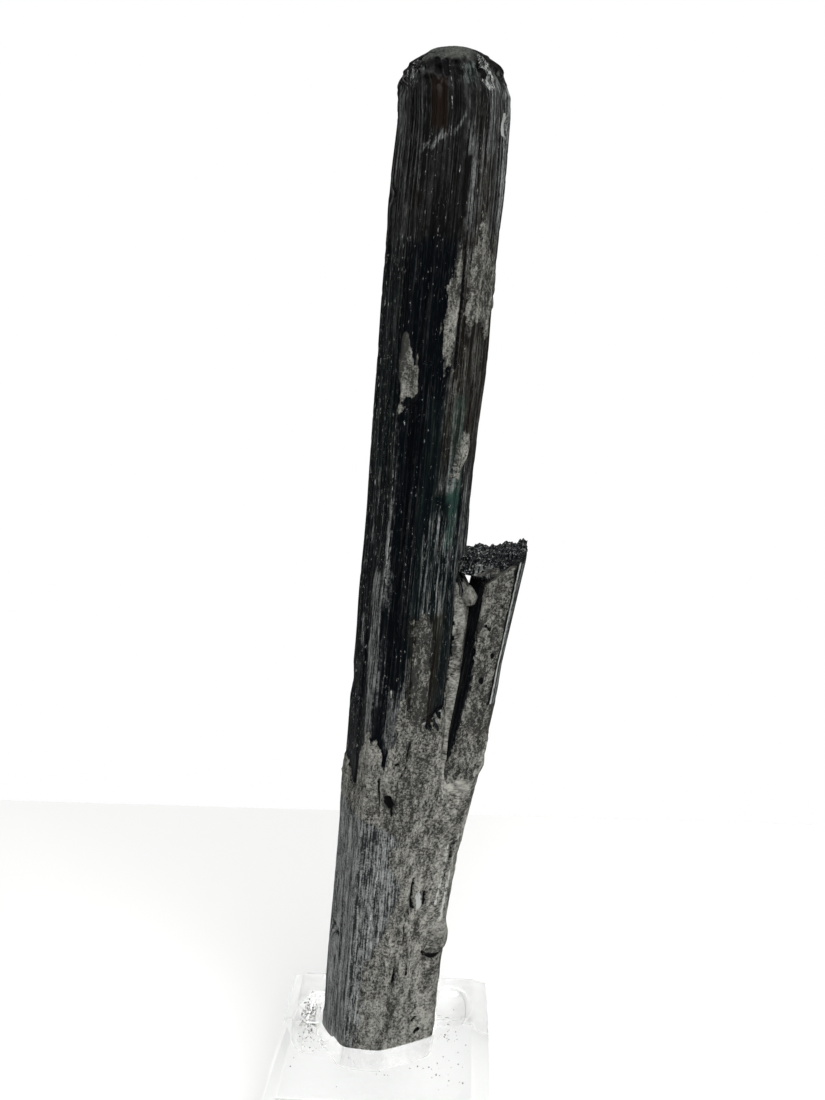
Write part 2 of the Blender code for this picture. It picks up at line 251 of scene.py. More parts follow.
# Darker and paler stretches of the crust, mostly its own tone. One is painted shade and one is painted
# light, as marked below.
CRUST_SHADES = [Blob(*row) for row in (
    (3.4, 58, 2.8, 50, 2.2, 2), (1.4, 19, 1.2, 14.5, 0.9, 0.9), (-2.5, 3.6, -1.4, 2.2, 1.2, 0.9),
    (9.2, 21.6, 9.4, 20, 0.6, 0.7), (1.5, 50, 1.2, 42, 1.4, 1.5), (-2, 47.5, -2, 45.5, 0.8, 0.8),
    # The stroke from (8.2, 17.6) to (8.8, 16.8) is painted shade under the knob.
    (0.2, 18, 1.6, 12, 1, 1.2), (0.8, 5, 2.8, 3.5, 0.8, 0.8), (8.2, 17.6, 8.8, 16.8, 0.9, 0.8),
    (8.2, 14, 8.4, 10.5, 0.6, 0.7), (6.2, 24.8, 5.4, 22, 0.5, 0.4), (8.2, 128.6, 7.6, 127, 1.2, 1),
    (9.4, 131, 9.6, 130, 0.5, 0.5), (5.2, 131, 5.2, 128.5, 0.9, 1), (10.8, 128.5, 10.5, 126.2, 1.2, 1.4),
    (-3.8, 121, -3.9, 117.5, 1, 0.9), (5.6, 53, 4.6, 43, 2.9, 2.9), (3.2, 136, 2.9, 127.5, 1.2, 1.5),
    (3.4, 46, 4.2, 40, 1.4, 1.2), (-2.2, 39.5, -0.9, 27, 1.5, 1.6), (1.5, 22, 1.5, 19, 0.6, 0.6),
)]
CRUST_LIGHTS = [Blob(*row) for row in (
    (-3.9, 57.5, -2.4, 53.5, 0.9, 0.9), (-10.4, 50.2, -10.2, 47, 0.8, 0.8), (0.6, 50.4, 0.4, 49, 1, 0.9),
    # The stroke from (10.4, 62) to (9.3, 51) is painted light on crust by the cleft that faces away from
    # the key light.
    (-3.8, 42.5, -3.2, 39.5, 1.1, 1), (-0.4, 50.5, -0.3, 48.8, 0.9, 0.6), (10.4, 62, 9.3, 51, 0.9, 0.7),
    (8.6, 9, 8.6, 3, 0.6, 0.8), (6.4, 124.8, 9.4, 124.2, 0.9, 1), (8, 37, 8.4, 27, 0.5, 0.8),
    (3.6, 27, 3.4, 24.5, 0.5, 0.5), (-9.6, 17, -7.8, 9, 1.4, 1.6), (8.4, 12, 8.4, 8, 0.5, 0.6),
    (1.6, 10, 1, 5, 0.9, 1), (6.9, 107, 5.9, 100.6, 0.9, 0.8), (-7.4, 40, -8.6, 33, 1, 1.1),
)]

# Cracks and holes. The strokes along the ledge at about 61 mm up, and those around the knob's foot at 17 to
# 21 mm up, are painted shade under the ledge and under the knob.
CRACKS_AND_SHADE = [Blob(*row) for row in (
    (3.5, 134.5, 3.9, 127.5, 0.12, 0.22), (3.9, 127.5, 3.8, 116.5, 0.2, 0.18), (2.3, 58, 2, 53, 0.06, 0.1),
    (2, 53, 1.1, 51.2, 0.1, 0.1), (1.1, 51.2, 1.1, 48.6, 0.1, 0.1), (4.6, 27, 5.2, 24, 0.12, 0.12),
    (4.3, 24.2, 4.5, 20.2, 0.16, 0.12), (3.4, 18, 3.2, 13.5, 0.16, 0.16), (5.2, 18, 5.5, 14.2, 0.12, 0.12),
    (-9.2, 49, -7.3, 42.5, 0.16, 0.1), (-1.8, 51, -1.3, 44.5, 0.12, 0.1), (7.9, 2.4, 7.6, 1.6, 0.2, 0.3),
    (7.4, 4.9, 6.9, 4.2, 0.2, 0.15), (8.3, 21.4, 7.7, 18.4, 0.02, 0.14), (7.7, 18.2, 8.6, 16.9, 0.14, 0.36),
    (8.6, 16.9, 9.8, 17.7, 0.36, 0.12), (-10.8, 19.8, -8.8, 19.2, 0.55, 0.35),
    (-9.4, 14.4, -9.4, 13.6, 0.25, 0.25), (5.2, 32.8, 5.3, 30.8, 0.2, 0.45),
    (5.3, 30.8, 5.4, 27.2, 0.28, 0.22), (6.8, 30, 6.9, 27.6, 0.16, 0.16), (0.8, 54, 0.1, 53.7, 0.3, 0.2),
    # Painted shadow under the ledge.
    (3.7, 61, 5.8, 61.7, 0.14, 0.25), (5.8, 61.7, 8.4, 62.4, 0.25, 0.3),
    (-2, 158.6, -1.8, 157.1, 0.55, 0.45), (-0.6, 158.5, -0.5, 156.8, 0.55, 0.45),
    (1, 158.2, 1.2, 156.9, 0.45, 0.45), (4.7, 157.6, 5.4, 157, 0.6, 0.6),
    (-2.6, 110.8, -1.5, 111.6, 0.15, 0.25), (9.4, 43, 8.7, 29, 0.05, 0.05),
    (-0.2, 47.7, 0.2, 46.4, 0.65, 0.55), (0.5, 46.6, 0.6, 44.4, 0.35, 0.12),
    (7.4, 18.4, 7.9, 17.4, 0.2, 0.3),
)]

# Thin pale lines and chips. Some are pale chips and the pale lozenge. Others are painted highlights, such
# as the ledge's lit edge at about 61 mm up and the glints on the crown's right shoulder.
PALE_AND_HIGHLIGHT_LINES = [Blob(*row) for row in (
    (-4, 110, -3.5, 84, 0.04, 0.1), (-6.6, 101.8, -6.1, 90.8, 0.04, 0.08), (0, 158, 0, 151.5, 0.03, 0.03),
    (-0.5, 37.5, -1.4, 20.5, 0.1, 0.1), (0, 37.5, -0.9, 20.5, 0.03, 0.03),
    (1.8, 78.6, 4.2, 79.1, 0.08, 0.08), (3.4, 60.3, 5, 60.8, 0.14, 0.14), (5.2, 60.9, 8.4, 61.8, 0.1, 0.14),
    (6, 29.9, 6.2, 27.4, 0.3, 0.45), (9.6, 41, 9, 24, 0.1, 0.2), (8.9, 41, 8.3, 27, 0.04, 0.16),
    (6.3, 105.5, 5.5, 99, 0.02, 0.05), (6.9, 99, 7.3, 87.5, 0.05, 0.02), (5.6, 98, 6, 88.5, 0.02, 0.02),
    (-1.2, 66.2, -1, 65, 0.15, 0.15), (9.9, 152, 10, 149.8, 0.5, 0.5), (5.4, 158.6, 6.1, 157, 0.12, 0.12),
    (6, 156.4, 5.8, 155.2, 0.06, 0.16), (-10.3, 76.5, -9.5, 72, 0.1, 0.15), (12.2, 78, 12, 66, 0.14, 0.08),
)]


class Zone(NamedTuple):
    """A ragged-edged stretch of the surface: across the front and up, and how much of a thing it has."""

    left: float
    right: float
    low: float
    high: float
    amount: float


# How much pale veil the growth faces have. The same amount sets the painted highlights along their growth
# lines, which stand in for light mirrored by the ridges.
VEIL_AND_HIGHLIGHT_ZONES = [Zone(*row) for row in (
    (-12.6, -3.6, 134.5, 158, 0.24), (-12.6, -8.2, 138, 159, 0.42), (-8.6, -3.6, 141, 150, 0.42),
    (-3.6, 2.4, 136.5, 158, 0.07), (1.9, 4.2, 155.4, 158.4, 0.42), (2.4, 12.6, 146, 158, 0.3),
    (3.2, 12.6, 134, 146, 0.36), (2.8, 12.6, 98, 134.5, 0.28), (8, 12.6, 79, 98.5, 0.62),
    (-1.5, 2.5, 78.5, 90, 0.12), (1.6, 9.9, 78, 94.5, 0.56), (4.2, 9.2, 61, 80, 0.22),
    (3, 7.6, 100, 122, 0.3), (6, 12.6, 134, 156, 0.36), (4.6, 9, 145, 158, 0.48),
    (-12.6, -4, 84, 136, 0.17), (-4, 2.8, 60, 136, 0.05), (-24, -4, 50, 84, 0.15),
    (-24, -12.4, 40, 158, 0.12), (12.4, 22, 40, 158, 0.2),
)]
# The dark face, where the growth lines are low.
DARK_FACE = [Zone(-3.6, 2.6, 66, 134, 1)]
# The matt cap, and the wavy healed break across the top.
CAP_ZONES = [Zone(*row) for row in (
    (-5, 5.4, 158.8, 170, 1), (-30, -5, 160.7, 170, 1), (5.4, 30, 160.7, 170, 1),
)]
HEALED = ((-4.3, 146.6), (-2.1, 147.7), (-1.1, 148.7), (1.1, 149.3), (1.8, 151.4))
# Where painted glints, pale specks put into the colour, stand for small facets catching the light.
GLINT_ZONES = [Zone(*row) for row in (
    (-24, -4.4, 52, 136, 1), (-10, -4.5, 156.2, 159.8, 1.4), (4.8, 7.6, 154.8, 159.8, 2.4),
    (-4.4, 3, 60, 150, 0.55), (3, 24, 62, 150, 0.55),
)]
# Where the crust is darker.
DUSKY_ZONES = [Zone(*row) for row in (
    (0.8, 5.6, 60.5, 79, 1.8), (-5.6, -1, 115.5, 123, 0.9), (1, 3.9, 110, 136, 0.3),
    (3.9, 12.6, 122, 136, 0.35),
)]
# Where the crust lies smooth, with few pits.
CALM_ZONES = [Zone(*row) for row in (
    (-5.6, -1, 108, 123, 1), (1, 3.9, 112, 136, 0.6), (3.9, 7, 118, 136, 0.4), (8.2, 10.2, 18.8, 22.8, 1),
    (9.4, 30, 60, 85, 0.7),
)]
# Where brown, green and grey show in the growth faces.
BROWN_ZONES = [Zone(*row) for row in (
    (-3, -0.5, 149.8, 156.4, 1), (-5, -3.2, 139, 142, 0.35), (4.8, 7.6, 134, 146, 0.3),
    (3.4, 24, 103, 135.5, 0.36), (0.8, 5.8, 60, 78.5, 0.65),
)]
TEAL_ZONES = [Zone(*row) for row in (
    (5.9, 6.8, 98, 106.5, 0.75), (4.6, 6.6, 98, 112, 0.45), (5, 7.4, 89, 101, 0.75),
    (1.9, 4.2, 155.4, 158.4, 0.3), (-11, -5, 100, 128, 0.07), (0.5, 5, 78, 112, 0.06),
    (0.5, 9.2, 61, 92, 0.08),
)]
GREY_ZONES = [Zone(*row) for row in (
    (-30, 30, 135, 170, 0.8), (2.8, 22, 98, 160, 1),
)]


def clamp(value, low=0.0, high=1.0):
    return np.clip(value, low, high)


def mix(start, end, share):
    return start + (end - start) * share


def smooth(low, high, value):
    share = clamp((value - low) / (high - low))
    return share * share * (3.0 - 2.0 * share)


def along_points(points, position):
    places, values = zip(*points)
    return np.interp(position, places, values)


def turn_between(first, second):
    """The smaller angle between two directions, in degrees."""
    return np.abs((first - second + 180.0) % 360.0 - 180.0)


def lattice_value(x, y, z, seed):
    """A fixed random value from -1 to 1 for each point of a whole-number lattice."""
    number = x.astype(np.int64) * 73856093 ^ y.astype(np.int64) * 19349663
    number ^= z.astype(np.int64) * 83492791 ^ seed * 2654435761
    number &= 0xFFFFFFFF
    number = ((number ^ (number >> 13)) * 1274126177) & 0xFFFFFFFF
    number ^= number >> 16
    return number / 2147483648.0 - 1.0


def noise(x, y, z, seed=0):
    """Smooth noise from -1 to 1 at each point, with features about one unit across."""
    x, y, z = np.broadcast_arrays(x, y, z)
    low = [np.floor(axis) for axis in (x, y, z)]
    share = [axis - start for axis, start in zip((x, y, z), low)]
    share = [part * part * (3.0 - 2.0 * part) for part in share]
    total = np.zeros(x.shape)
    for corner in range(8):
        steps = (corner & 1, corner >> 1 & 1, corner >> 2)
        weight = 1.0
        for step, part in zip(steps, share):
            weight = weight * (part if step else 1.0 - part)
        total += weight * lattice_value(*(start + step for start, step in zip(low, steps)), seed)
    return total


def section_radius(faces, angle):
    """The distance from the axis to a section with these faces, its corners a little rounded."""
    total = 0.0
    for direction, distance in faces:
        towards = np.cos(np.radians(angle - direction)) / distance
        total = total + np.maximum(towards, 0.0) ** CORNER_SHARPNESS
    return total ** (-1.0 / CORNER_SHARPNESS)


def unit(angle):
    return np.stack([np.cos(np.radians(angle)), np.sin(np.radians(angle))], axis=-1)


def tall_axis(height):
    x = TALL_BASE_X + TALL_LEAN * np.minimum(height, CROWN_LEAN_END) + along_points(CROWN_SHIFT, height)
    return np.stack([x, TALL_Y + along_points(FOOT_SHIFT, height)], axis=-1)


def side_axis(height):
    x = along_points(SIDE_AXIS, height)
    return np.stack([x, SIDE_Y + along_points(FOOT_SHIFT, height)], axis=-1)


def crown_share(height):
    rise = clamp((height - CROWN_START) / (TALL_TOP - CROWN_START))
    return (1.0 - rise**CROWN_FLATNESS) ** CROWN_SHOULDER


def swelling(height):
    return along_points(SWELLING, height)


def joint_radius(angle, height):
    """The outline that wraps both crystals, from the tall one's axis."""
    levels = np.linspace(FOOT_BOTTOM - 1.0, JOINT_TOP, 60)
    around = np.arange(0.0, 360.0, 4.0)
    tall = unit(around) * section_radius(TALL_FACES, around)[:, None]
    side = unit(around) * section_radius(SIDE_FACES, around)[:, None]
    offset = side_axis(levels) - tall_axis(levels)
    best = np.full(angle.shape, np.inf)
    for way in np.arange(0.0, 360.0, 3.0):
        facing = unit(way)
        wall = np.maximum((tall @ facing).max() * swelling(levels), (side @ facing).max() + offset @ facing)
        towards = np.cos(np.radians(angle - way))
        reach = np.interp(height, levels, wall) / np.maximum(towards, JOINT_FACING)
        best = np.minimum(best, np.where(towards > JOINT_FACING, reach, np.inf))
    return best + CRUST_RISE


def random_ribs():
    chance = random.Random(RIB_SEED)
    ribs = []
    for number in range(RIB_COUNT):
        low = chance.uniform(*RIB_STARTS)
        angle = (number + chance.random()) * 360.0 / RIB_COUNT
        half_width = chance.uniform(*RIB_HALF_WIDTHS)
        high = low + chance.uniform(*RIB_LENGTHS)
        ribs.append(Rib(angle, half_width, low, high, chance.uniform(*RIB_RISES)))
    return ribs


def rib_relief(ribs, angle, height):
    total = np.zeros(angle.shape)
    for rib in ribs:
        across = 1.0 - turn_between(angle, rib.angle) / rib.half_width
        along = clamp(np.minimum(height - rib.low, rib.high - height) / RIB_END)
        total += rib.rise * clamp(2.5 * across) * along
    return total


def spot_relief(spots, angle, height):
    total = np.zeros(angle.shape)
    for spot in spots:
        across = turn_between(angle, spot.angle) / spot.half_angle
        along = (height - spot.height) / spot.half_height
        total += spot.rise * clamp(2.2 * (1.0 - np.hypot(across, along)))
    return total


def blob_field(blobs, across, height):
    """How far inside the nearest stroke a place is, in millimetres, and less than 0 outside."""
    best = np.full(across.shape, FAR_OUTSIDE)
    for blob in blobs:
        run = np.array([blob.end_across - blob.across, blob.end_height - blob.height])
        share = ((across - blob.across) * run[0] + (height - blob.height) * run[1]) / (run @ run)
        share = clamp(share)
        far = np.hypot(across - blob.across - share * run[0], height - blob.height - share * run[1])
        best = np.maximum(best, mix(blob.half_width, blob.end_half_width, share) - far)
    return best


def zone_amount(zones, across, height, edges):
    """How much of a thing there is at each place, ragged where it ends."""
    total = np.zeros(across.shape)
    for zone in zones:
        sideways = np.minimum(across - zone.left, zone.right - across)
        upright = np.minimum(height - zone.low, zone.high - height) * 0.4
        inside = smooth(-0.25, 0.25, np.minimum(sideways, upright) + 0.5 * edges)
        total = np.maximum(total, zone.amount * inside)
    return total


def striations(x, y, height, seed):
    """Growth lines along the crystal: flat-topped ribs of several widths, from -1 to 1."""
    coarse = np.tanh(3.5 * noise(x / 1.1, y / 1.1, height / 70.0, seed))
    middle = np.tanh(3.5 * noise(x / 0.55, y / 0.55, height / 38.0, seed + 1))
    fine = noise(x / 0.26, y / 0.26, height / 20.0, seed + 2)
    return 0.45 * coarse + 0.35 * middle + 0.2 * fine


def grain_relief(x, y, height, seed):
    """The lumps and pits of the crust, from about -1 to 1."""
    lumps = noise(x / 1.3, y / 1.3, height / 1.9, seed)
    grains = noise(x / 0.5, y / 0.5, height / 0.7, seed + 1)
    pits = clamp(noise(x / 0.8, y / 0.8, height / 1.1, seed + 2) - 0.45)
    return 0.5 * lumps + 0.35 * grains - 2.2 * pits


def ragged(across, height, seed):
    """What makes the crust's edges ragged, in millimetres: tongues along the growth lines."""
    tongues = noise(across / 0.55, height / 4.5, 0.0, seed)
    flakes = noise(across / 0.4, height / 0.55, 3.0, seed + 1)
    return 0.55 * tongues + 0.35 * flakes


def tube_net(columns, rows):
    """A tube of radius 1 and height 1, closed at both ends, to be drawn into shape."""
    net = bmesh.new()
    foot = net.verts.new((1.0, 0.0, 0.0))
    top = net.verts.new((1.0, 0.0, 1.0))
    line = net.edges.new((foot, top))
    bmesh.ops.subdivide_edges(net, edges=[line], cuts=rows - 1)
    bmesh.ops.spin(net, geom=net.verts[:] + net.edges[:], cent=(0, 0, 0), axis=(0, 0, 1),
                   angle=math.tau, steps=columns, use_merge=True)
    bmesh.ops.holes_fill(net, edges=[edge for edge in net.edges if edge.is_boundary], sides=0)
    bmesh.ops.recalc_face_normals(net, faces=net.faces[:])
    return net


def vertex_places(data):
    places = np.empty(len(data.vertices) * 3, np.float32)
    data.vertices.foreach_get("co", places)
    return places.reshape(-1, 3)


def net_places(data):
    """Each vertex's angle in degrees and its share of the way up the net."""
    x, y, share = vertex_places(data).astype(float).T
    return np.degrees(np.arctan2(y, x)) % 360.0, share


def set_places(data, flat, height):
    """Moves every vertex to its flat place and height over the block's top."""
    places = np.column_stack([flat, height + BLOCK_HEIGHT]) * MM
    data.vertices.foreach_set("co", places.astype(np.float32).ravel())
    data.update()


def add_readings(made, **readings):
    """Stores one number, or three, for each vertex under each name, for the material to read."""
    data = made.data
    for name, values in readings.items():
        kind, field = ("FLOAT_VECTOR", "vector") if isinstance(values, tuple) else ("FLOAT", "value")
        parts = values if isinstance(values, tuple) else (values,)
        columns = [np.broadcast_to(part, len(data.vertices)) for part in parts]
        reading = data.attributes.new(name, kind, "POINT")
        reading.data.foreach_set(field, np.column_stack(columns).astype(np.float32).ravel())


def scale_and_move(net, scale, move):
    bmesh.ops.scale(net, verts=net.verts, vec=scale)
    bmesh.ops.translate(net, verts=net.verts, vec=move)


def finished_object(name, net):
    data = bpy.data.meshes.new(name)
    net.to_mesh(data)
    net.free()
    data.shade_smooth()
    made = bpy.data.objects.new(name, data)
    bpy.context.scene.collection.objects.link(made)
    return made


def around_front(faces, angle):
    """Millimetres around the section from the middle of the front, to the right."""
    steps = np.linspace(-90.0, 270.0, 721)
    rim = unit(steps) * section_radius(faces, steps)[:, None]
    lengths = np.concatenate([[0.0], np.cumsum(np.hypot(*np.diff(rim, axis=0).T))])
    turned = (angle + 90.0) % 360.0 - 90.0
    across = np.interp(turned, steps, lengths)
    return np.where(across > lengths[-1] / 2.0, across - lengths[-1], across)


def tall_heights(share):
    """Rows stand closer together in the crust and up the crown."""
    rows_end, start = TALL_ROW_MARKS[-1]
    turn = clamp((share - rows_end) / TALL_CROWN_ROWS) * math.pi / 2.0
    crown = start + (TALL_TOP - start) * np.sin(turn)
    return np.where(share > rows_end, crown, along_points(TALL_ROW_MARKS, share))


def tall_crust(across, height, edges):
    """Millimetres inside the crust, and less than 0 outside it."""
    lower = (along_points(CRUST_TOP, across) - height) * 0.6 + 1.4 * edges
    lined = along_points(LINED_RIGHT, height) - across + 1.5 * edges
    lower = np.minimum(lower, -lined)
    patches = blob_field(CRUST_BLOBS, across, height) + edges
    return np.maximum(lower, patches)


def tall_film(across, height, edges):
    """Millimetres inside the thin grey film."""
    film = blob_field(FILM_BLOBS, across, height) + 0.7 * edges
    return np.maximum(film, np.minimum(FILM_FOOT_TOP - height, 3.0))


def cleft_bulge(across, height):
    """How far the crust stands out along the cleft, in millimetres."""
    bulge = (0.4 + 0.4 * smooth(74.0, 62.0, height)) * smooth(84.0, 79.0, height)
    return bulge * smooth(7.8, 11.6, across) * smooth(50.0, 53.0, height)


def edge_nicks(x, y, height):
    """Nicks along the left and right edges, in millimetres."""
    nicks = smooth(0.18, 0.42, noise(x / 1.6, y / 1.6, height / 1.1, 43))
    return NICK_DEPTH * nicks * smooth(0.55, 0.9, np.abs(x) / 12.0)


def crown_chips(x, y, height):
    """Chips around the crown's rim, in millimetres."""
    rim = smooth(154.5, 157.0, height) * smooth(161.2, 159.8, height)
    return rim * (0.45 * noise(x / 0.9, y / 0.9, height / 0.8, 41) - 0.3)


def tall_relief(look, angle, height, across, coat, calm, cover, cracks):
    """How far the tall crystal stands proud of its plain shape, in millimetres."""
    crown = crown_share(height)
    x, y = (unit(angle) * section_radius(TALL_FACES, angle)[:, None]).T
    bare = 1.0 - 0.6 * zone_amount(DARK_FACE, across, height, 0.0)
    relief = rib_relief(random_ribs() + NAMED_RIBS, angle, height) * crown * (1.0 - 0.4 * cover)
    relief += spot_relief(SPOTS, angle, height)
    relief += striations(x, y, height, 3) * look.striation_depth * bare * crown * (1.0 - 0.75 * coat)
    grains = CRUST_GRAIN * grain_relief(x, y, height, 21) * (1.0 - 0.7 * calm)
    relief += coat * (look.crust_rise * (height > PROUD_CRUST_START) + grains)
    relief -= CRACK_DEPTH * smooth(-0.15, 0.25, cracks)
    relief += UNEVEN * noise(x / 4.0, y / 4.0, height / 9.0, 31)
    relief -= edge_nicks(x, y, height) * (1.0 - 0.7 * cover)
    relief += cleft_bulge(across, height) * (1.0 - cover) + crown_chips(x * crown, y * crown, height)
    held = np.where(height < 0.0, BURIED_RELIEF, 1.0)
    return relief * held * np.minimum(1.0, crown * 4.0)


def make_tall_crystal(look):
    """The tall crystal with the crust at its foot."""
    made = finished_object("tall_crystal", tube_net(TALL_COLUMNS, TALL_ROWS))
    angle, share = net_places(made.data)
    height = tall_heights(share)
    crown = crown_share(height)
    across = around_front(TALL_FACES, angle)
    edges = ragged(across, height, 11)
    crust = tall_crust(across, height, edges)
    cracks = blob_field(CRACKS_AND_SHADE, across, height) + 0.25 * edges
    zones = (CALM_ZONES, DUSKY_ZONES, CAP_ZONES, GLINT_ZONES, VEIL_AND_HIGHLIGHT_ZONES, BROWN_ZONES, TEAL_ZONES, GREY_ZONES)
    amounts = [zone_amount(kind, across, height, edges) for kind in zones]
    calm, dusky, cap, glint, veil_and_highlight, *tints = amounts

    span = along_points(CRUST_EDGE_SPANS, angle)
    below = along_points(CRUST_EDGE, angle) - height
    cover = clamp(below / span + edges / (span * span + 0.25))
    base = section_radius(TALL_FACES, angle)
    radius = base * crown * swelling(height)
    wrapped = cover > 0.0
    radius[wrapped] = mix(radius, joint_radius(angle, height), cover)[wrapped]
    coat = smooth(-0.12, 0.12, crust)
    relief = tall_relief(look, angle, height, across, coat, calm, cover, cracks)
    radius = np.maximum(radius + relief, 0.0)
    set_places(made.data, tall_axis(height) + unit(angle) * radius[:, None], height)

    healed = clamp(1.0 - np.abs(height - along_points(HEALED, across) + 0.7 * edges))
    healed *= smooth(-4.4, -3.6, across) * smooth(2.2, 1.6, across)
    shade = smooth(-0.7, 0.7, blob_field(CRUST_SHADES, across, height) + 0.6 * edges)
    shade = shade - 0.8 * smooth(-0.6, 0.6, blob_field(CRUST_LIGHTS, across, height) + 0.6 * edges)
    strength = along_points(FILM_STRENGTHS, height) + 0.3 * smooth(-3.2, -4.4, across) * (height > 50.0)
    x, y = (unit(angle) * (base * crown)[:, None]).T
    add_readings(
        made,
        crust=crust,
        film=np.maximum(tall_film(across, height, edges), 1.4 * healed - 0.9),
        lustre=(veil_and_highlight + 0.2 * healed, glint, cap),
        evenness=(strength - 0.55 * healed, calm, shade + dusky),
        crack=cracks,
        pale=blob_field(PALE_AND_HIGHLIGHT_LINES, across, height),
        tints=tuple(tints),
        grain=(x, y, height),
    )
    return made


def side_reach(height):
    return BRIDGE_REACH * clamp((height - BRIDGE_START) / 1.2)


def side_surface(angle, height):
    """The smaller crystal's radius around its axis, before its fine relief."""
    inside = clamp((SIDE_BURIED - height) / 3.0)
    radius = section_radius(SIDE_FACES, angle) * mix(1.0, SIDE_BURIED_SHARE, inside)
    leftward = clamp(1.6 * np.cos(np.radians(angle - 180.0)) - 0.4)
    return radius + side_reach(height) * leftward


# The crusted front of the smaller crystal: its left and right edges across the front, by height.
SIDE_FRONT_LEFT = ((51.5, -8), (52.8, -1.9), (60, -1.6), (66, -1.2), (78, -2.4), (84, -3.3))
SIDE_FRONT_RIGHT = ((61, 30), (63, 2.2), (74, 2.2), (85, 1.9))
# Along that right edge, from here up, run a dark line and a pale one, this far out.
FLANK_START = 62.8
FLANK_DARK = 0.12
FLANK_PALE = 0.5
# Dark blotches on that front.
SIDE_BLOTCHES = [Blob(*row) for row in (
    (-0.8, 76.2, -0.4, 75.8, 0.25, 0.3), (0.4, 67.4, 0.6, 66.8, 0.35, 0.3),
    (1.1, 71.5, 1.2, 71.1, 0.15, 0.15), (0.9, 79.8, 1, 79.4, 0.15, 0.2),
)]


def side_crust(across, height, edges):
    """Millimetres inside the smaller crystal's crust."""
    left = across - along_points(SIDE_FRONT_LEFT, height)
    right = along_points(SIDE_FRONT_RIGHT, height) - across
    return np.minimum(left, right) + 0.6 * edges


def side_broken(across, height, edges):
    """How far into the rough break each place is, from 0 to 1."""
    middle, middle_height = SIDE_BREAK_PLACE
    edge = np.clip(middle_height + SIDE_BREAK_SLOPE * (across - middle), *SIDE_BREAK_LIMITS)
    return smooth(-0.4, 0.5, height - edge + 0.7 * edges)


def side_relief(look, x, y, height, across, coat, broken):
    """How far the smaller crystal stands proud of its plain shape, in millimetres."""
    lines = striations(x + SIDE_GRAIN_SHIFT, y, height, 61)
    relief = lines * look.striation_depth * (1.0 - 0.75 * coat) * (1.0 - 0.9 * broken)
    relief += coat * (0.6 * look.crust_rise + 0.1 * grain_relief(x, y, height, 71))
    relief += 0.35 * smooth(70.0, 64.0, height) * smooth(0.5, 3.0, across)
    relief += broken * (0.28 * noise(x, y, height / 0.9, 81) - 0.25)
    relief += broken * 0.22 * noise(x / 0.45, y / 0.45, height / 0.45, 82)
    return relief * clamp((height - SIDE_BURIED) / 3.0)


def break_lift(flat, inward):
    """How far the rough break rises or falls from a level top, in millimetres."""
    x, y = flat.T
    lift = 0.45 * noise(x / 1.4, y / 1.4, 0.0, 91) + 0.35 * noise(x / 0.55, y / 0.55, 1.0, 92)
    lift += 0.2 * noise(x / 0.25, y / 0.25, 2.0, 93) - 0.7 * (1.0 - inward)
    return lift + smooth(1.0, 3.6, x) - 0.9 * smooth(4.2, 5.4, x) - 0.9 * smooth(0.5, -3.5, x)


def make_side_crystal(look):
    """The smaller crystal, its top broken off ragged."""
    made = finished_object("side_crystal", tube_net(SIDE_COLUMNS, SIDE_ROWS + SIDE_TOP_ROWS))
    angle, share = net_places(made.data)
    row = share * (SIDE_ROWS + SIDE_TOP_ROWS)
    height = np.interp(row, (0, SIDE_ROWS), (SIDE_START, SIDE_TOP))
    inward = 1.0 - clamp((row - SIDE_ROWS) / SIDE_TOP_ROWS) * 0.98
    base = section_radius(SIDE_FACES, angle)
    x, y = (unit(angle) * base[:, None] * inward[:, None]).T
    across = around_front(SIDE_FACES, angle)
    edges = ragged(across, height, 51)
    broken = side_broken(across, height, edges)
    patches = smooth(0.0, 0.3, noise(x / 1.2, y / 1.2, height / 0.8, 83)) * smooth(86.4, 84.8, height)
    crust = side_crust(across, height, edges) - 3.0 * broken * (1.0 - patches)
    relief = side_relief(look, x, y, height, across, smooth(-0.12, 0.12, crust), broken)
    reach = (side_surface(angle, height) + relief) * inward
    shift = np.stack([0.5 * side_reach(height) * (1.0 - inward), 0.0 * height], axis=-1)
    flat = unit(angle) * reach[:, None] - shift
    axis = side_axis(height)
    height = height + break_lift(flat, inward) * smooth(86.0, 88.0, height)
    set_places(made.data, axis + flat, height)

    edge = across - along_points(SIDE_FRONT_RIGHT, height)
    under = smooth(-0.5, -3.0, across) * smooth(87.0, 86.0, height)
    # The veil here also sets painted highlights along the growth lines, strongest in the break.
    veil_and_highlight = mix(np.where(edge > 0.0, 0.3, 0.07), 0.2 + 0.5 * under, broken)
    shade = 0.8 + 0.35 * smooth(0.0, 2.0, across) + 0.7 * broken
    blotches = blob_field(SIDE_BLOTCHES, across, height) + 0.4 * edges
    flank = np.where(height > FLANK_START, 0.0, -2.0) - 6.0 * broken
    add_readings(
        made,
        crust=crust,
        film=np.minimum(edge - 0.3, 3.0) - 6.0 * broken,
        # The second number sets painted glints, more of them in the break.
        lustre=(veil_and_highlight, 0.3 + broken, 0.0),
        evenness=(0.8, 0.0, shade),
        crack=np.maximum(blotches, flank + 0.14 - np.abs(edge - FLANK_DARK)),
        pale=flank + 0.2 - np.abs(edge - FLANK_PALE),
        tints=(0.0, 0.0, 0.0),
        grain=(x + SIDE_GRAIN_SHIFT, y, height * (1.0 + 4.0 * broken)),
    )
    return made


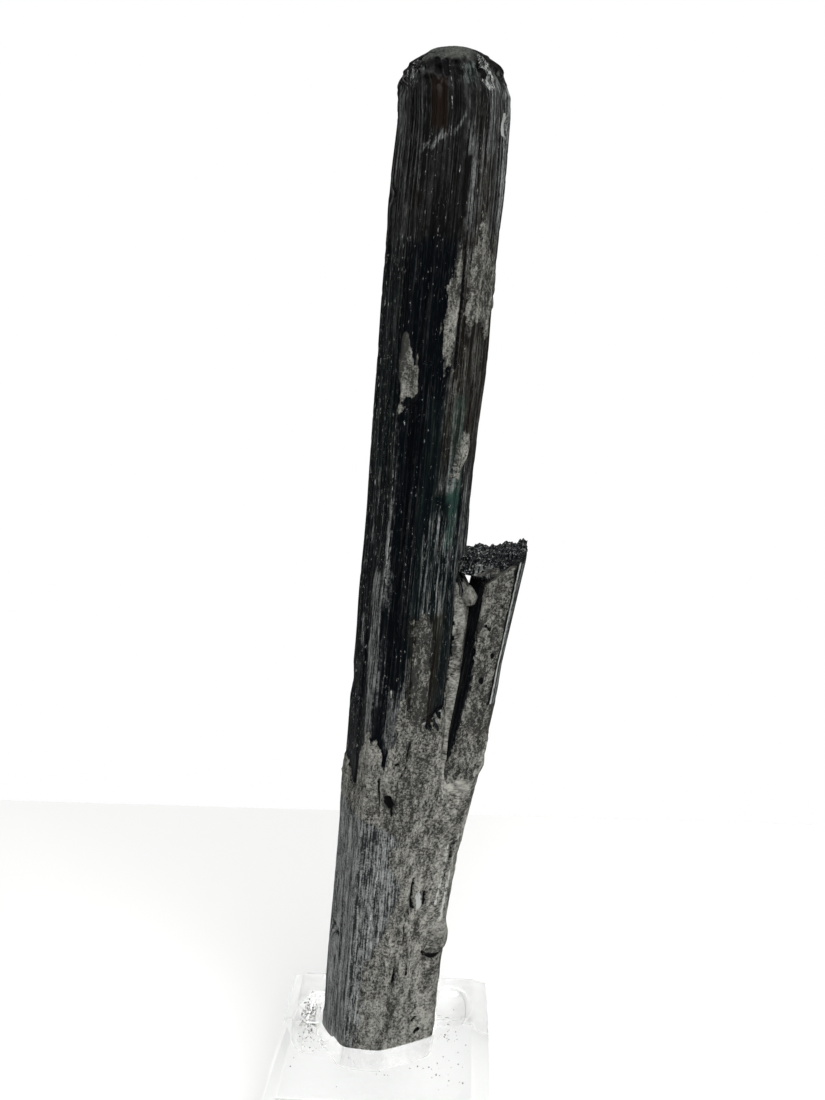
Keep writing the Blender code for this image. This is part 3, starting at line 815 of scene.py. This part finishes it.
class Reading:
    """A number in a shader: sums on it add Math nodes."""

    def __init__(self, wiring, socket):
        self.wiring = wiring
        self.socket = socket

    def sum_with(self, operation, *others):
        node = self.wiring.node("ShaderNodeMath", {"operation": operation}, (self, *others))
        return Reading(self.wiring, node.outputs[0])

    def __add__(self, other):
        return self.sum_with("ADD", other)

    __radd__ = __add__

    def __mul__(self, other):
        return self.sum_with("MULTIPLY", other)

    __rmul__ = __mul__

    def __sub__(self, other):
        return self.sum_with("SUBTRACT", other)

    def __rsub__(self, other):
        return (self * -1.0) + other

    def highest(self, other):
        return self.sum_with("MAXIMUM", other)

    def swing(self, size):
        """How far it is from 0.5, times size."""
        return (self - 0.5) * size

    def rising(self, low, high, start=0.0, end=1.0):
        """start up to low, end from high on, and smooth between."""
        limits = {"From Min": low, "From Max": high, "To Min": start, "To Max": end}
        settings = {"interpolation_type": "SMOOTHSTEP", "clamp": True}
        node = self.wiring.node("ShaderNodeMapRange", settings, {"Value": self, **limits})
        return Reading(self.wiring, node.outputs["Result"])


class Wiring:
    """A tree of nodes under construction."""

    def __init__(self, tree):
        self.tree = tree

    def node(self, kind, settings=None, inputs=None):
        """Makes any node: its settings first, then the values or links of its inputs."""
        made = self.tree.nodes.new(kind)
        for key, value in (settings or {}).items():
            setattr(made, key, value)
        pairs = inputs.items() if isinstance(inputs, dict) else enumerate(inputs or ())
        for key, value in pairs:
            self.feed(made.inputs[key], value)
        return made

    def feed(self, socket, value):
        if isinstance(value, Reading):
            value = value.socket
        if isinstance(value, bpy.types.NodeSocket):
            self.tree.links.new(value, socket)
        elif value is not None:
            socket.default_value = (*value, 1.0) if socket.type == "RGBA" else value

    def place(self, kind):
        return self.node("ShaderNodeTexCoord").outputs[kind]

    def parts(self, vector):
        """The three numbers of a vector."""
        outputs = self.node("ShaderNodeSeparateXYZ", {}, (vector,)).outputs
        return [Reading(self, outputs[axis]) for axis in "XYZ"]


class Finish(Wiring):
    """A material under construction."""

    def __init__(self, name):
        self.material = bpy.data.materials.new(name)
        self.material.use_nodes = True
        super().__init__(self.material.node_tree)
        self.shader = self.tree.nodes["Principled BSDF"]

    def attribute(self, name, output):
        return self.node("ShaderNodeAttribute", {"attribute_name": name}).outputs[output]

    def readings(self, name):
        """The three numbers that one attribute holds."""
        return self.parts(self.attribute(name, "Vector"))

    def reading(self, name):
        return Reading(self, self.attribute(name, "Fac"))

    def noise(self, vector, scale, detail, roughness):
        """Noise from 0 to 1 around 0.5, with features about 1 / scale across."""
        scaled = self.node("ShaderNodeMapping", {}, {"Vector": vector, "Scale": scale}).outputs["Vector"]
        node = self.node("ShaderNodeTexNoise", {}, {"Vector": scaled, "Scale": 1.0,
                                                  "Detail": detail, "Roughness": roughness})
        return Reading(self, node.outputs["Fac"])

    def mixed(self, share, first, second):
        node = self.node("ShaderNodeMix", {"data_type": "RGBA", "clamp_factor": True},
                         {0: share, 6: first, 7: second})
        return node.outputs[2]

    def bump(self, height, distance, normal=None, strength=1.0):
        node = self.node("ShaderNodeBump", {}, {"Strength": strength, "Distance": distance,
                                                "Height": height, "Normal": normal})
        return node.outputs["Normal"]

    def set_shader(self, **values):
        for key, value in values.items():
            self.feed(self.shader.inputs[key.replace("_", " ")], value)


def crystal_material(look):
    """Dark glassy growth faces, a thin grey film on some and a grey-beige crust, with painted highlights
    and glints, and painted shade in some cracks.
    """
    finish = Finish("crystal_stone")
    grain = finish.attribute("grain", "Vector")
    brown, teal, grey = finish.readings("tints")
    veil_and_highlight, glint, cap = finish.readings("lustre")
    strength, calm, shade = finish.readings("evenness")
    lines = finish.noise(grain, (3.2, 3.2, 0.06), 4.0, 0.65)
    hair = finish.noise(grain, (6.5, 6.5, 0.45), 3.0, 0.6)
    specks = finish.noise(grain, (4.4, 4.4, 1.1), 4.0, 0.7)
    grit = finish.noise(grain, (2.8, 2.8, 2.2), 5.0, 0.75)
    patchy = finish.noise(grain, (0.42, 0.42, 0.16), 4.0, 0.6)
    streaks = finish.noise(grain, (1.2, 1.2, 0.40), 4.0, 0.65)
    fine = finish.noise(grain, (4.6, 4.6, 4.0), 2.0, 0.6)

    rough = 1.0 - calm * 0.6
    crust = (finish.reading("crust") + (specks.swing(1.6) + (hair - 0.5)) * rough).rising(-0.06, 0.06)
    film = (finish.reading("film") + lines.swing(2.2) + specks.swing(2.0)).rising(-0.3, 0.4)
    # Cracks and holes, and painted shade under the ledge and the knob.
    crack = (finish.reading("crack") + grit.swing(0.9) + specks.swing(0.6)).rising(-0.04, 0.06)
    # Pale chips and lines, and painted highlights on ridges and edges.
    pale = (finish.reading("pale") + (specks - 0.56) * 0.7).rising(-0.02, 0.05)

    dark = finish.mixed(grey, look.dark_colour, look.grey_colour)
    dark = finish.mixed(brown, dark, look.brown_colour)
    dark = finish.mixed(teal * (0.25 + lines.rising(0.42, 0.56) * 0.75), dark, look.teal_colour)
    # Painted highlights along the growth lines: light mirrored by the ridges, put into the colour.
    lit = (lines - (1.0 - grey) * 0.05).rising(0.47, 0.56) * (0.42 + streaks.rising(0.42, 0.58) * 0.5)
    lit = lit * (0.6 + specks.rising(0.42, 0.58) * 0.3 + fine.rising(0.4, 0.6) * 0.3)
    lit = lit + hair.rising(0.52, 0.60) * specks.rising(0.46, 0.56) * 0.5
    lit = lit * (0.7 + patchy.rising(0.4, 0.6) * 0.6)
    film_and_highlight_colour = finish.mixed(brown, look.film_and_highlight_pale, look.film_and_highlight_tan)
    veiled_and_highlit = finish.mixed(veil_and_highlight * lit * (1.0 - brown * 0.85), dark, film_and_highlight_colour)
    line_tone = 0.38 - shade * 0.2 + lines.swing(3.1) + hair.swing(1.9)
    line_tone = line_tone + streaks.swing(1.8) + grit.swing(1.8) + fine.swing(1.4)
    lined = finish.mixed(line_tone, look.film_dark, film_and_highlight_colour)
    filmed = finish.mixed(film * strength, veiled_and_highlit, lined)

    tone = 0.38 - shade * 0.22 + grit.swing(3.2 - calm * 2.2)
    tone = tone + patchy.swing(1.5) + streaks.swing(2.0) + fine.swing(1.4)
    beige = finish.mixed(tone, look.crust_dark, look.crust_pale)
    pits = (1.0 - specks.rising(0.36, 0.42)) * patchy.rising(0.42, 0.56)
    pits = pits.highest(1.0 - grit.rising(0.31, 0.37)) * (0.75 - calm * 0.6)
    spotted = finish.mixed(pits, beige, look.pit_colour)
    colour = finish.mixed(crust, filmed, spotted)
    matt = 0.25 + grit.swing(1.8) + patchy.swing(1.2)
    colour = finish.mixed(cap, colour, finish.mixed(matt, look.film_dark, look.cap_colour))
    # Painted glints: pale specks where small facets would catch the light.
    painted_glints = (specks + glint * 0.085).rising(0.70, 0.74) * hair.rising(0.42, 0.5) * glint.rising(0.0, 0.2)
    painted_glints = painted_glints * (1.0 - crust) * (1.0 - film * 0.7)
    colour = finish.mixed(pale.highest(painted_glints), colour, look.pale_and_highlight_colour)
    colour = finish.mixed(crack, colour, look.crack_colour)

    line_bump = finish.bump(lines * (1.0 - crust * 0.6), 0.0004)
    hair_bump = finish.bump(hair * (1.0 - crust * 0.6) + specks * 0.8, 0.00014, line_bump)
    relief = crust * (0.4 + (grit + streaks * 0.8) * rough - pits * 0.4) - crack
    crust_bump = finish.bump(relief, 0.00035, hair_bump)
    bare = (1.0 - crust) * (1.0 - crack) * (1.0 - film * 0.8) * (1.0 - cap)
    finish.set_shader(Base_Color=colour, Roughness=0.45 + crust * 0.35, Normal=crust_bump, IOR=1.62,
                      Specular_IOR_Level=look.sheen, Coat_Weight=bare * look.gloss, Coat_Roughness=0.2,
                      Coat_IOR=1.6)
    return finish.material


def acrylic_material(look):
    """Clear acrylic with a faint haze of fine scratches."""
    finish = Finish("clear_acrylic")
    place = finish.place("Object")
    haze = finish.noise(place, (90.0, 90.0, 90.0), 3.0, 0.6)
    scratches = finish.noise(place, (900.0, 120.0, 300.0), 2.0, 0.5)
    roughness = 0.01 + haze.rising(0.5, 0.75) * 0.03
    normal = finish.bump(scratches, 0.00002, strength=0.25)
    finish.set_shader(Base_Color=look.acrylic_colour, Roughness=roughness, Normal=normal, IOR=1.49,
                      Transmission_Weight=1.0)
    return finish.material


def grit_material(look):
    finish = Finish("grit")
    place = finish.place("Object")
    shade = finish.noise(place, (700.0, 700.0, 700.0), 2.0, 0.6)
    colour = finish.mixed(shade.rising(0.4, 0.6), look.crust_dark, look.crust_pale)
    finish.set_shader(Base_Color=colour, Roughness=0.6)
    return finish.material


def stage_material(look):
    finish = Finish("pale_floor")
    place = finish.place("Object")
    mottle = finish.noise(place, (30.0, 30.0, 30.0), 3.0, 0.5)
    dulled = [0.985 * part for part in look.floor_colour]
    colour = finish.mixed(mottle, look.floor_colour, dulled)
    finish.set_shader(Base_Color=colour, Roughness=0.7)
    return finish.material


def apply_modifiers(made):
    """Keeps the shape that the modifiers give, and drops them."""
    graph = bpy.context.evaluated_depsgraph_get()
    data = bpy.data.meshes.new_from_object(made.evaluated_get(graph))
    made.modifiers.clear()
    made.data = data


def cut_from(target, cutter):
    modifier = target.modifiers.new(cutter.name, "BOOLEAN")
    modifier.operation = "DIFFERENCE"
    modifier.object = cutter


def make_recess_cutter():
    """A hole that follows the foot with a thin gap, and rises clear of the block's top."""
    made = finished_object("recess_cutter", tube_net(RECESS_COLUMNS, RECESS_ROWS))
    angle, share = net_places(made.data)
    height = mix(-RECESS_DEPTH, RECESS_OVERRUN, share)
    radius = joint_radius(angle, height) + RECESS_GAP + RECESS_CLEARANCE
    set_places(made.data, tall_axis(height) + unit(angle) * radius[:, None], height)
    return made


def make_hollow_cutter(name, hollow):
    x, y, *half_sizes = hollow
    net = bmesh.new()
    bmesh.ops.create_uvsphere(net, u_segments=64, v_segments=32, radius=MM)
    scale_and_move(net, half_sizes, Vector((x, y, BLOCK_HEIGHT)) * MM)
    return finished_object(name, net)


def bevel(net, edges, width, segments):
    bmesh.ops.bevel(net, geom=edges, offset=width * MM, offset_type="OFFSET", segments=segments,
                    profile=0.5, affect="EDGES", material=-1)


def make_block():
    """The clear block: bevelled top edges, all its edges a little soft, and the recess."""
    net = bmesh.new()
    middle = BLOCK_HEIGHT / 2.0 * MM
    bmesh.ops.create_cube(net, size=MM)
    scale_and_move(net, (BLOCK_SIDE, BLOCK_SIDE, BLOCK_HEIGHT), (0.0, 0.0, middle))
    top_edges = [edge for edge in net.edges if all(vertex.co.z > middle for vertex in edge.verts)]
    bevel(net, top_edges, BLOCK_BEVEL, 1)
    bevel(net, net.edges[:], EDGE_SOFTENING, 2)
    made = finished_object("display_block", net)
    cutters = [make_recess_cutter(), make_hollow_cutter("left_hollow_cutter", LEFT_HOLLOW),
               make_hollow_cutter("right_hollow_cutter", RIGHT_HOLLOW)]
    for cutter in cutters:
        cut_from(made, cutter)
    apply_modifiers(made)
    for cutter in cutters:
        bpy.data.objects.remove(cutter)
    made.data.set_sharp_from_angle(angle=math.radians(BLOCK_SHARP_ANGLE))
    return made


GRIT_SEED = 5
GRIT_SIZES = (0.07, 0.22)
GRIT_FLATNESS = 0.7
GRIT_LIFT = 0.62
GRIT_ROUGHNESS = 0.03
GRIT_SHARP_ANGLE = 20.0
# How far grains stay from the foot of the crystals, and from the block's bevel.
GRIT_FOOT_GAP = 1.4
GRIT_EDGE_GAP = 0.5
# The middle of the joint foot, right of the tall crystal's own axis.
FOOT_MIDDLE_X = TALL_BASE_X + 1.3
# Where grains lie: centre X and Y, spread X and Y, share of the grains.
GRIT_PLACES = (
    (-13, 5, 1.8, 2.2, 0.72), (-11.5, -1.5, 2, 1.6, 0.1), (11, 2.5, 2, 3, 0.09), (3, -8, 7, 2, 0.05),
    (12, -8, 3, 3, 0.04),
)


def hollow_depth(x, y):
    """How far below the top face the surface lies here."""
    depth = 0.0
    for centre_x, centre_y, half_x, half_y, half_z in (LEFT_HOLLOW, RIGHT_HOLLOW):
        out = math.hypot((x - centre_x) / half_x, (y - centre_y) / half_y)
        depth = max(depth, half_z * math.sqrt(max(0.0, 1.0 - out * out)))
    return depth


def grain_matrix(chance, x, y):
    """Where one grain lies, how it is turned and its shape."""
    size = chance.uniform(*GRIT_SIZES) * chance.uniform(0.6, 1.0)
    rest = BLOCK_HEIGHT - hollow_depth(x, y) + GRIT_LIFT * size
    turned = Matrix.Rotation(chance.uniform(0.0, math.tau), 4, "Z")
    shape = Matrix.Diagonal((size, size * chance.uniform(0.5, 1.0), size * GRIT_FLATNESS, 1.0))
    return Matrix.Translation(Vector((x, y, rest)) * MM) @ turned @ shape


def near_foot(x, y):
    """Whether a grain would lie too close to the crystals' foot."""
    turn = math.degrees(math.atan2(y - TALL_Y, x - FOOT_MIDDLE_X))
    edge = float(joint_radius(np.array([turn]), np.array([0.0]))[0])
    return math.hypot(x - TALL_BASE_X, y - TALL_Y) < edge + GRIT_FOOT_GAP


def make_grit(look):
    """Loose grains that fell from the crust, most of them in the hollow on the left."""
    chance = random.Random(GRIT_SEED)
    net = bmesh.new()
    half = BLOCK_SIDE / 2.0 - BLOCK_BEVEL - GRIT_EDGE_GAP
    for centre_x, centre_y, spread_x, spread_y, part in GRIT_PLACES:
        for _ in range(round(look.grit_count * part)):
            x = centre_x + chance.gauss(0.0, spread_x)
            y = centre_y + chance.gauss(0.0, spread_y)
            if max(abs(x), abs(y)) > half or near_foot(x, y):
                continue
            bmesh.ops.create_icosphere(net, subdivisions=1, radius=MM, matrix=grain_matrix(chance, x, y))
    for vertex in net.verts:
        vertex.co += Vector([chance.uniform(-GRIT_ROUGHNESS, GRIT_ROUGHNESS) * MM for _ in range(3)])
    made = finished_object("loose_grit", net)
    made.data.set_sharp_from_angle(angle=math.radians(GRIT_SHARP_ANGLE))
    return made


def make_knob():
    """A small lump of crust that hangs under the broken top, in the cleft."""
    net = bmesh.new()
    bmesh.ops.create_icosphere(net, subdivisions=5, radius=KNOB_RADIUS)
    for vertex in net.verts:
        size = 1.0
        for scale, rise, seed in KNOB_LUMPS:
            size += rise * noise(*(np.array([part * scale]) for part in vertex.co), seed=seed)[0]
        vertex.co = [part * stretch for part, stretch in zip(vertex.co * size, KNOB_STRETCH)]
    centre = Vector(KNOB_CENTRE) + Vector((0.0, 0.0, BLOCK_HEIGHT))
    bmesh.ops.translate(net, verts=net.verts, vec=centre)
    bmesh.ops.scale(net, verts=net.verts, vec=(MM, MM, MM))
    made = finished_object("cleft_knob", net)
    blank = (0.0, 0.0, 0.0)
    add_readings(made, crust=2.0, film=-2.0, crack=-2.0, pale=-2.0, lustre=blank, tints=blank,
                 evenness=(1.0, 1.0, -0.35), grain=tuple(vertex_places(made.data).T / MM))
    return made


def place_piece(made, node, material):
    made.data.materials.clear()
    made.data.materials.append(material)
    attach(made, "root")
    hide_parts(node)


# Camera: its place over the block's top centre in millimetres, and how it is turned.
CAMERA_PLACE = (14.98, -152.76, 123.45)
CAMERA_PITCH = 12.958
CAMERA_YAW = 3.578
CAMERA_LENS = 32.62
SENSOR = 36.0

# The room brightens from the viewer's side to the far side, between these two.
ROOM_FRONT = -0.7
ROOM_BACK = 0.6


def make_camera():
    data = bpy.data.cameras.new("camera")
    data.lens = CAMERA_LENS
    data.sensor_width = SENSOR
    data.sensor_fit = "AUTO"
    data.clip_start = 0.01
    data.clip_end = 20.0
    made = bpy.data.objects.new("camera", data)
    made.location = (Vector(CAMERA_PLACE) + Vector((0.0, 0.0, BLOCK_HEIGHT))) * MM
    made.rotation_euler = (math.radians(90.0 - CAMERA_PITCH), 0.0, math.radians(CAMERA_YAW))
    bpy.context.scene.collection.objects.link(made)
    bpy.context.scene.camera = made


def make_world(stage):
    """A dim room that the crystals mirror, white behind the specimen and through the clear block."""
    world = bpy.data.worlds.new("studio")
    bpy.context.scene.world = world
    world.use_nodes = True
    world.node_tree.nodes.clear()
    room = Wiring(world.node_tree)
    depth = room.parts(room.place("Generated"))[1]
    dim = depth.rising(ROOM_FRONT, ROOM_BACK, stage.front_light, stage.room_light)
    ray = room.node("ShaderNodeLightPath").outputs
    seen = room.node("ShaderNodeMath", {"operation": "ADD", "use_clamp": True},
                     (ray["Is Camera Ray"], ray["Transmission Depth"])).outputs[0]
    strength = room.node("ShaderNodeMix", {}, {"Factor": seen, "A": dim, "B": 1.0}).outputs["Result"]
    light = room.node("ShaderNodeBackground", {}, {"Color": (1.0, 1.0, 1.0), "Strength": strength})
    room.node("ShaderNodeOutputWorld", {}, {"Surface": light.outputs[0]})


def make_light(name, place, target, size, power):
    data = bpy.data.lights.new(name, "AREA")
    data.shape = "DISK"
    data.size = size
    data.energy = power
    made = bpy.data.objects.new(name, data)
    made.location = place
    made.rotation_euler = (Vector(target) - Vector(place)).to_track_quat("-Z", "Y").to_euler()
    bpy.context.scene.collection.objects.link(made)


# The floor and the lights, in metres; each light has a place, a target and a size.
FLOOR_WIDTH = 0.5
FLOOR_FRONT = -0.15
FLOOR_BACK = 0.13
KEY_LIGHT = ((0.18, -0.45, 0.5), (0.0, 0.0, 0.08), 0.5)
TOP_LIGHT = ((0.0, 0.15, 2.0), (0.0, 0.1, 0.0), 2.0)


def make_stage(stage, look):
    net = bmesh.new()
    bmesh.ops.create_grid(net, x_segments=8, y_segments=8, size=0.5)
    scale_and_move(net, (FLOOR_WIDTH, FLOOR_BACK - FLOOR_FRONT, 1.0),
                   (0.0, (FLOOR_BACK + FLOOR_FRONT) / 2.0, 0.0))
    floor = finished_object("floor", net)
    floor.data.materials.append(stage_material(look))
    make_world(stage)
    make_light("key_light", *KEY_LIGHT, stage.key_power)
    make_light("top_light", *TOP_LIGHT, stage.top_power)
    make_camera()
    bpy.context.scene.view_settings.view_transform = "Standard"


def colour_property(name, description, default):
    return FloatVectorProperty(name=name, description=description, default=default, subtype="COLOR",
                               size=3, min=0.0, max=1.0)


def number_property(name, description, default, highest, **more):
    return FloatProperty(name=name, description=description, default=default, min=0.0, max=highest, **more)


class SpecimenLook(bpy.types.PropertyGroup):
    """Sizes and colours of the specimen."""

    striation_depth: number_property("Striation depth", "Depth of the growth lines in millimetres",
                                     0.11, 0.5)
    crust_rise: number_property("Crust thickness", "How far the crust stands out in millimetres", 0.22, 1.0)
    grit_count: IntProperty(name="Grains", default=540, min=0, max=1000,
                            description="How many grains are dropped; those that miss the top are left out")
    gloss: number_property("Gloss", "How much the growth faces mirror", 0.06, 1.0)
    sheen: number_property("Dull sheen", "How much the crust and the film shine", 0.025, 1.0)
    dark_colour: colour_property("Dark faces", "Blue-black growth faces", (0.0016, 0.0028, 0.0045))
    grey_colour: colour_property("Grey faces", "Brown-grey faces at the top and the upper right",
                                 (0.0065, 0.0062, 0.0056))
    brown_colour: colour_property("Brown zone", "The see-through brown zone", (0.013, 0.0075, 0.005))
    # Pale chips, and the colour of painted highlights and glints.
    pale_and_highlight_colour: colour_property("Pale edges", "Chipped edges and ridges that catch the light",
                                 (0.55, 0.57, 0.55))
    teal_colour: colour_property("Green zone", "The see-through green strip", (0.045, 0.098, 0.080))
    # The film's colours also colour the painted highlights along the growth lines.
    film_and_highlight_pale: colour_property("Film", "Thin grey film on the growth faces", (0.42, 0.44, 0.43))
    film_and_highlight_tan: colour_property("Tan film", "Warmer film on the right face", (0.40, 0.385, 0.315))
    film_dark: colour_property("Dark film", "The film's dark lines", (0.020, 0.022, 0.023))
    cap_colour: colour_property("Cap", "The matt crown", (0.20, 0.21, 0.18))
    crust_dark: colour_property("Dark crust", "Darker parts of the crust", (0.050, 0.050, 0.046))
    crust_pale: colour_property("Pale crust", "Paler, beige parts of the crust", (0.50, 0.497, 0.45))
    pit_colour: colour_property("Pits", "Dark pits and grains in the crust", (0.015, 0.015, 0.014))
    # Cracks and holes, and painted shade under the ledge and the knob.
    crack_colour: colour_property("Cracks", "Cracks and holes in the crust", (0.006, 0.006, 0.007))
    acrylic_colour: colour_property("Acrylic", "The clear block", (0.955, 0.965, 0.958))
    floor_colour: colour_property("Floor", "The pale floor", (0.97, 0.97, 0.96))


class SpecimenStage(bpy.types.PropertyGroup):
    """The light around the specimen."""

    room_light: number_property("Room light", "Brightness of the room behind the specimen", 0.14, 10.0)
    front_light: number_property("Front light", "Brightness of the room behind the viewer", 0.05, 10.0)
    key_power: number_property("Key light", "Power of the light over the viewer's right shoulder",
                               3.8, 100.0, unit="POWER")
    top_power: number_property("Top light", "Power of the light overhead", 30.0, 100.0, unit="POWER")


class SPECIMEN_OT_crystals(bpy.types.Operator):
    """Makes both crystals and the knob between them"""

    bl_idname = "specimen.crystals"
    bl_label = "Crystals"

    def execute(self, context):
        look = context.scene.specimen_look
        material = crystal_material(look)
        for made in (make_tall_crystal(look), make_side_crystal(look), make_knob()):
            place_piece(made, "crystal_cluster", material)
        return {"FINISHED"}


class SPECIMEN_OT_block(bpy.types.Operator):
    """Makes the clear block"""

    bl_idname = "specimen.block"
    bl_label = "Clear block"

    def execute(self, context):
        material = acrylic_material(context.scene.specimen_look)
        place_piece(make_block(), "clear_block", material)
        return {"FINISHED"}


class SPECIMEN_OT_grit(bpy.types.Operator):
    """Scatters the loose grains on the block"""

    bl_idname = "specimen.grit"
    bl_label = "Loose grit"

    def execute(self, context):
        look = context.scene.specimen_look
        place_piece(make_grit(look), "crystal_cluster", grit_material(look))
        return {"FINISHED"}


class SPECIMEN_OT_stage(bpy.types.Operator):
    """Makes the floor, the light and the camera"""

    bl_idname = "specimen.stage"
    bl_label = "Stage"

    def execute(self, context):
        make_stage(context.scene.specimen_stage, context.scene.specimen_look)
        return {"FINISHED"}


class SPECIMEN_PT_panel(bpy.types.Panel):
    """Lists the specimen's pieces and their settings"""

    bl_idname = "SPECIMEN_PT_panel"
    bl_label = "Specimen"
    bl_space_type = "VIEW_3D"
    bl_region_type = "UI"
    bl_category = "Specimen"

    def draw(self, context):
        for group in (context.scene.specimen_look, context.scene.specimen_stage):
            for name in group.__annotations__:
                self.layout.prop(group, name)
        for operator in OPERATORS:
            self.layout.operator(operator.bl_idname)


OPERATORS = (SPECIMEN_OT_crystals, SPECIMEN_OT_block, SPECIMEN_OT_grit, SPECIMEN_OT_stage)
CLASSES = (SpecimenLook, SpecimenStage, *OPERATORS, SPECIMEN_PT_panel)


def register():
    for item in CLASSES:
        bpy.utils.register_class(item)
    bpy.types.Scene.specimen_look = PointerProperty(type=SpecimenLook)
    bpy.types.Scene.specimen_stage = PointerProperty(type=SpecimenStage)


def unregister():
    del bpy.types.Scene.specimen_stage
    del bpy.types.Scene.specimen_look
    for item in reversed(CLASSES):
        bpy.utils.unregister_class(item)


def main():
    register()
    bpy.ops.specimen.crystals()
    bpy.ops.specimen.block()
    bpy.ops.specimen.grit()
    bpy.ops.specimen.stage()


if __name__ == "__main__":
    main()
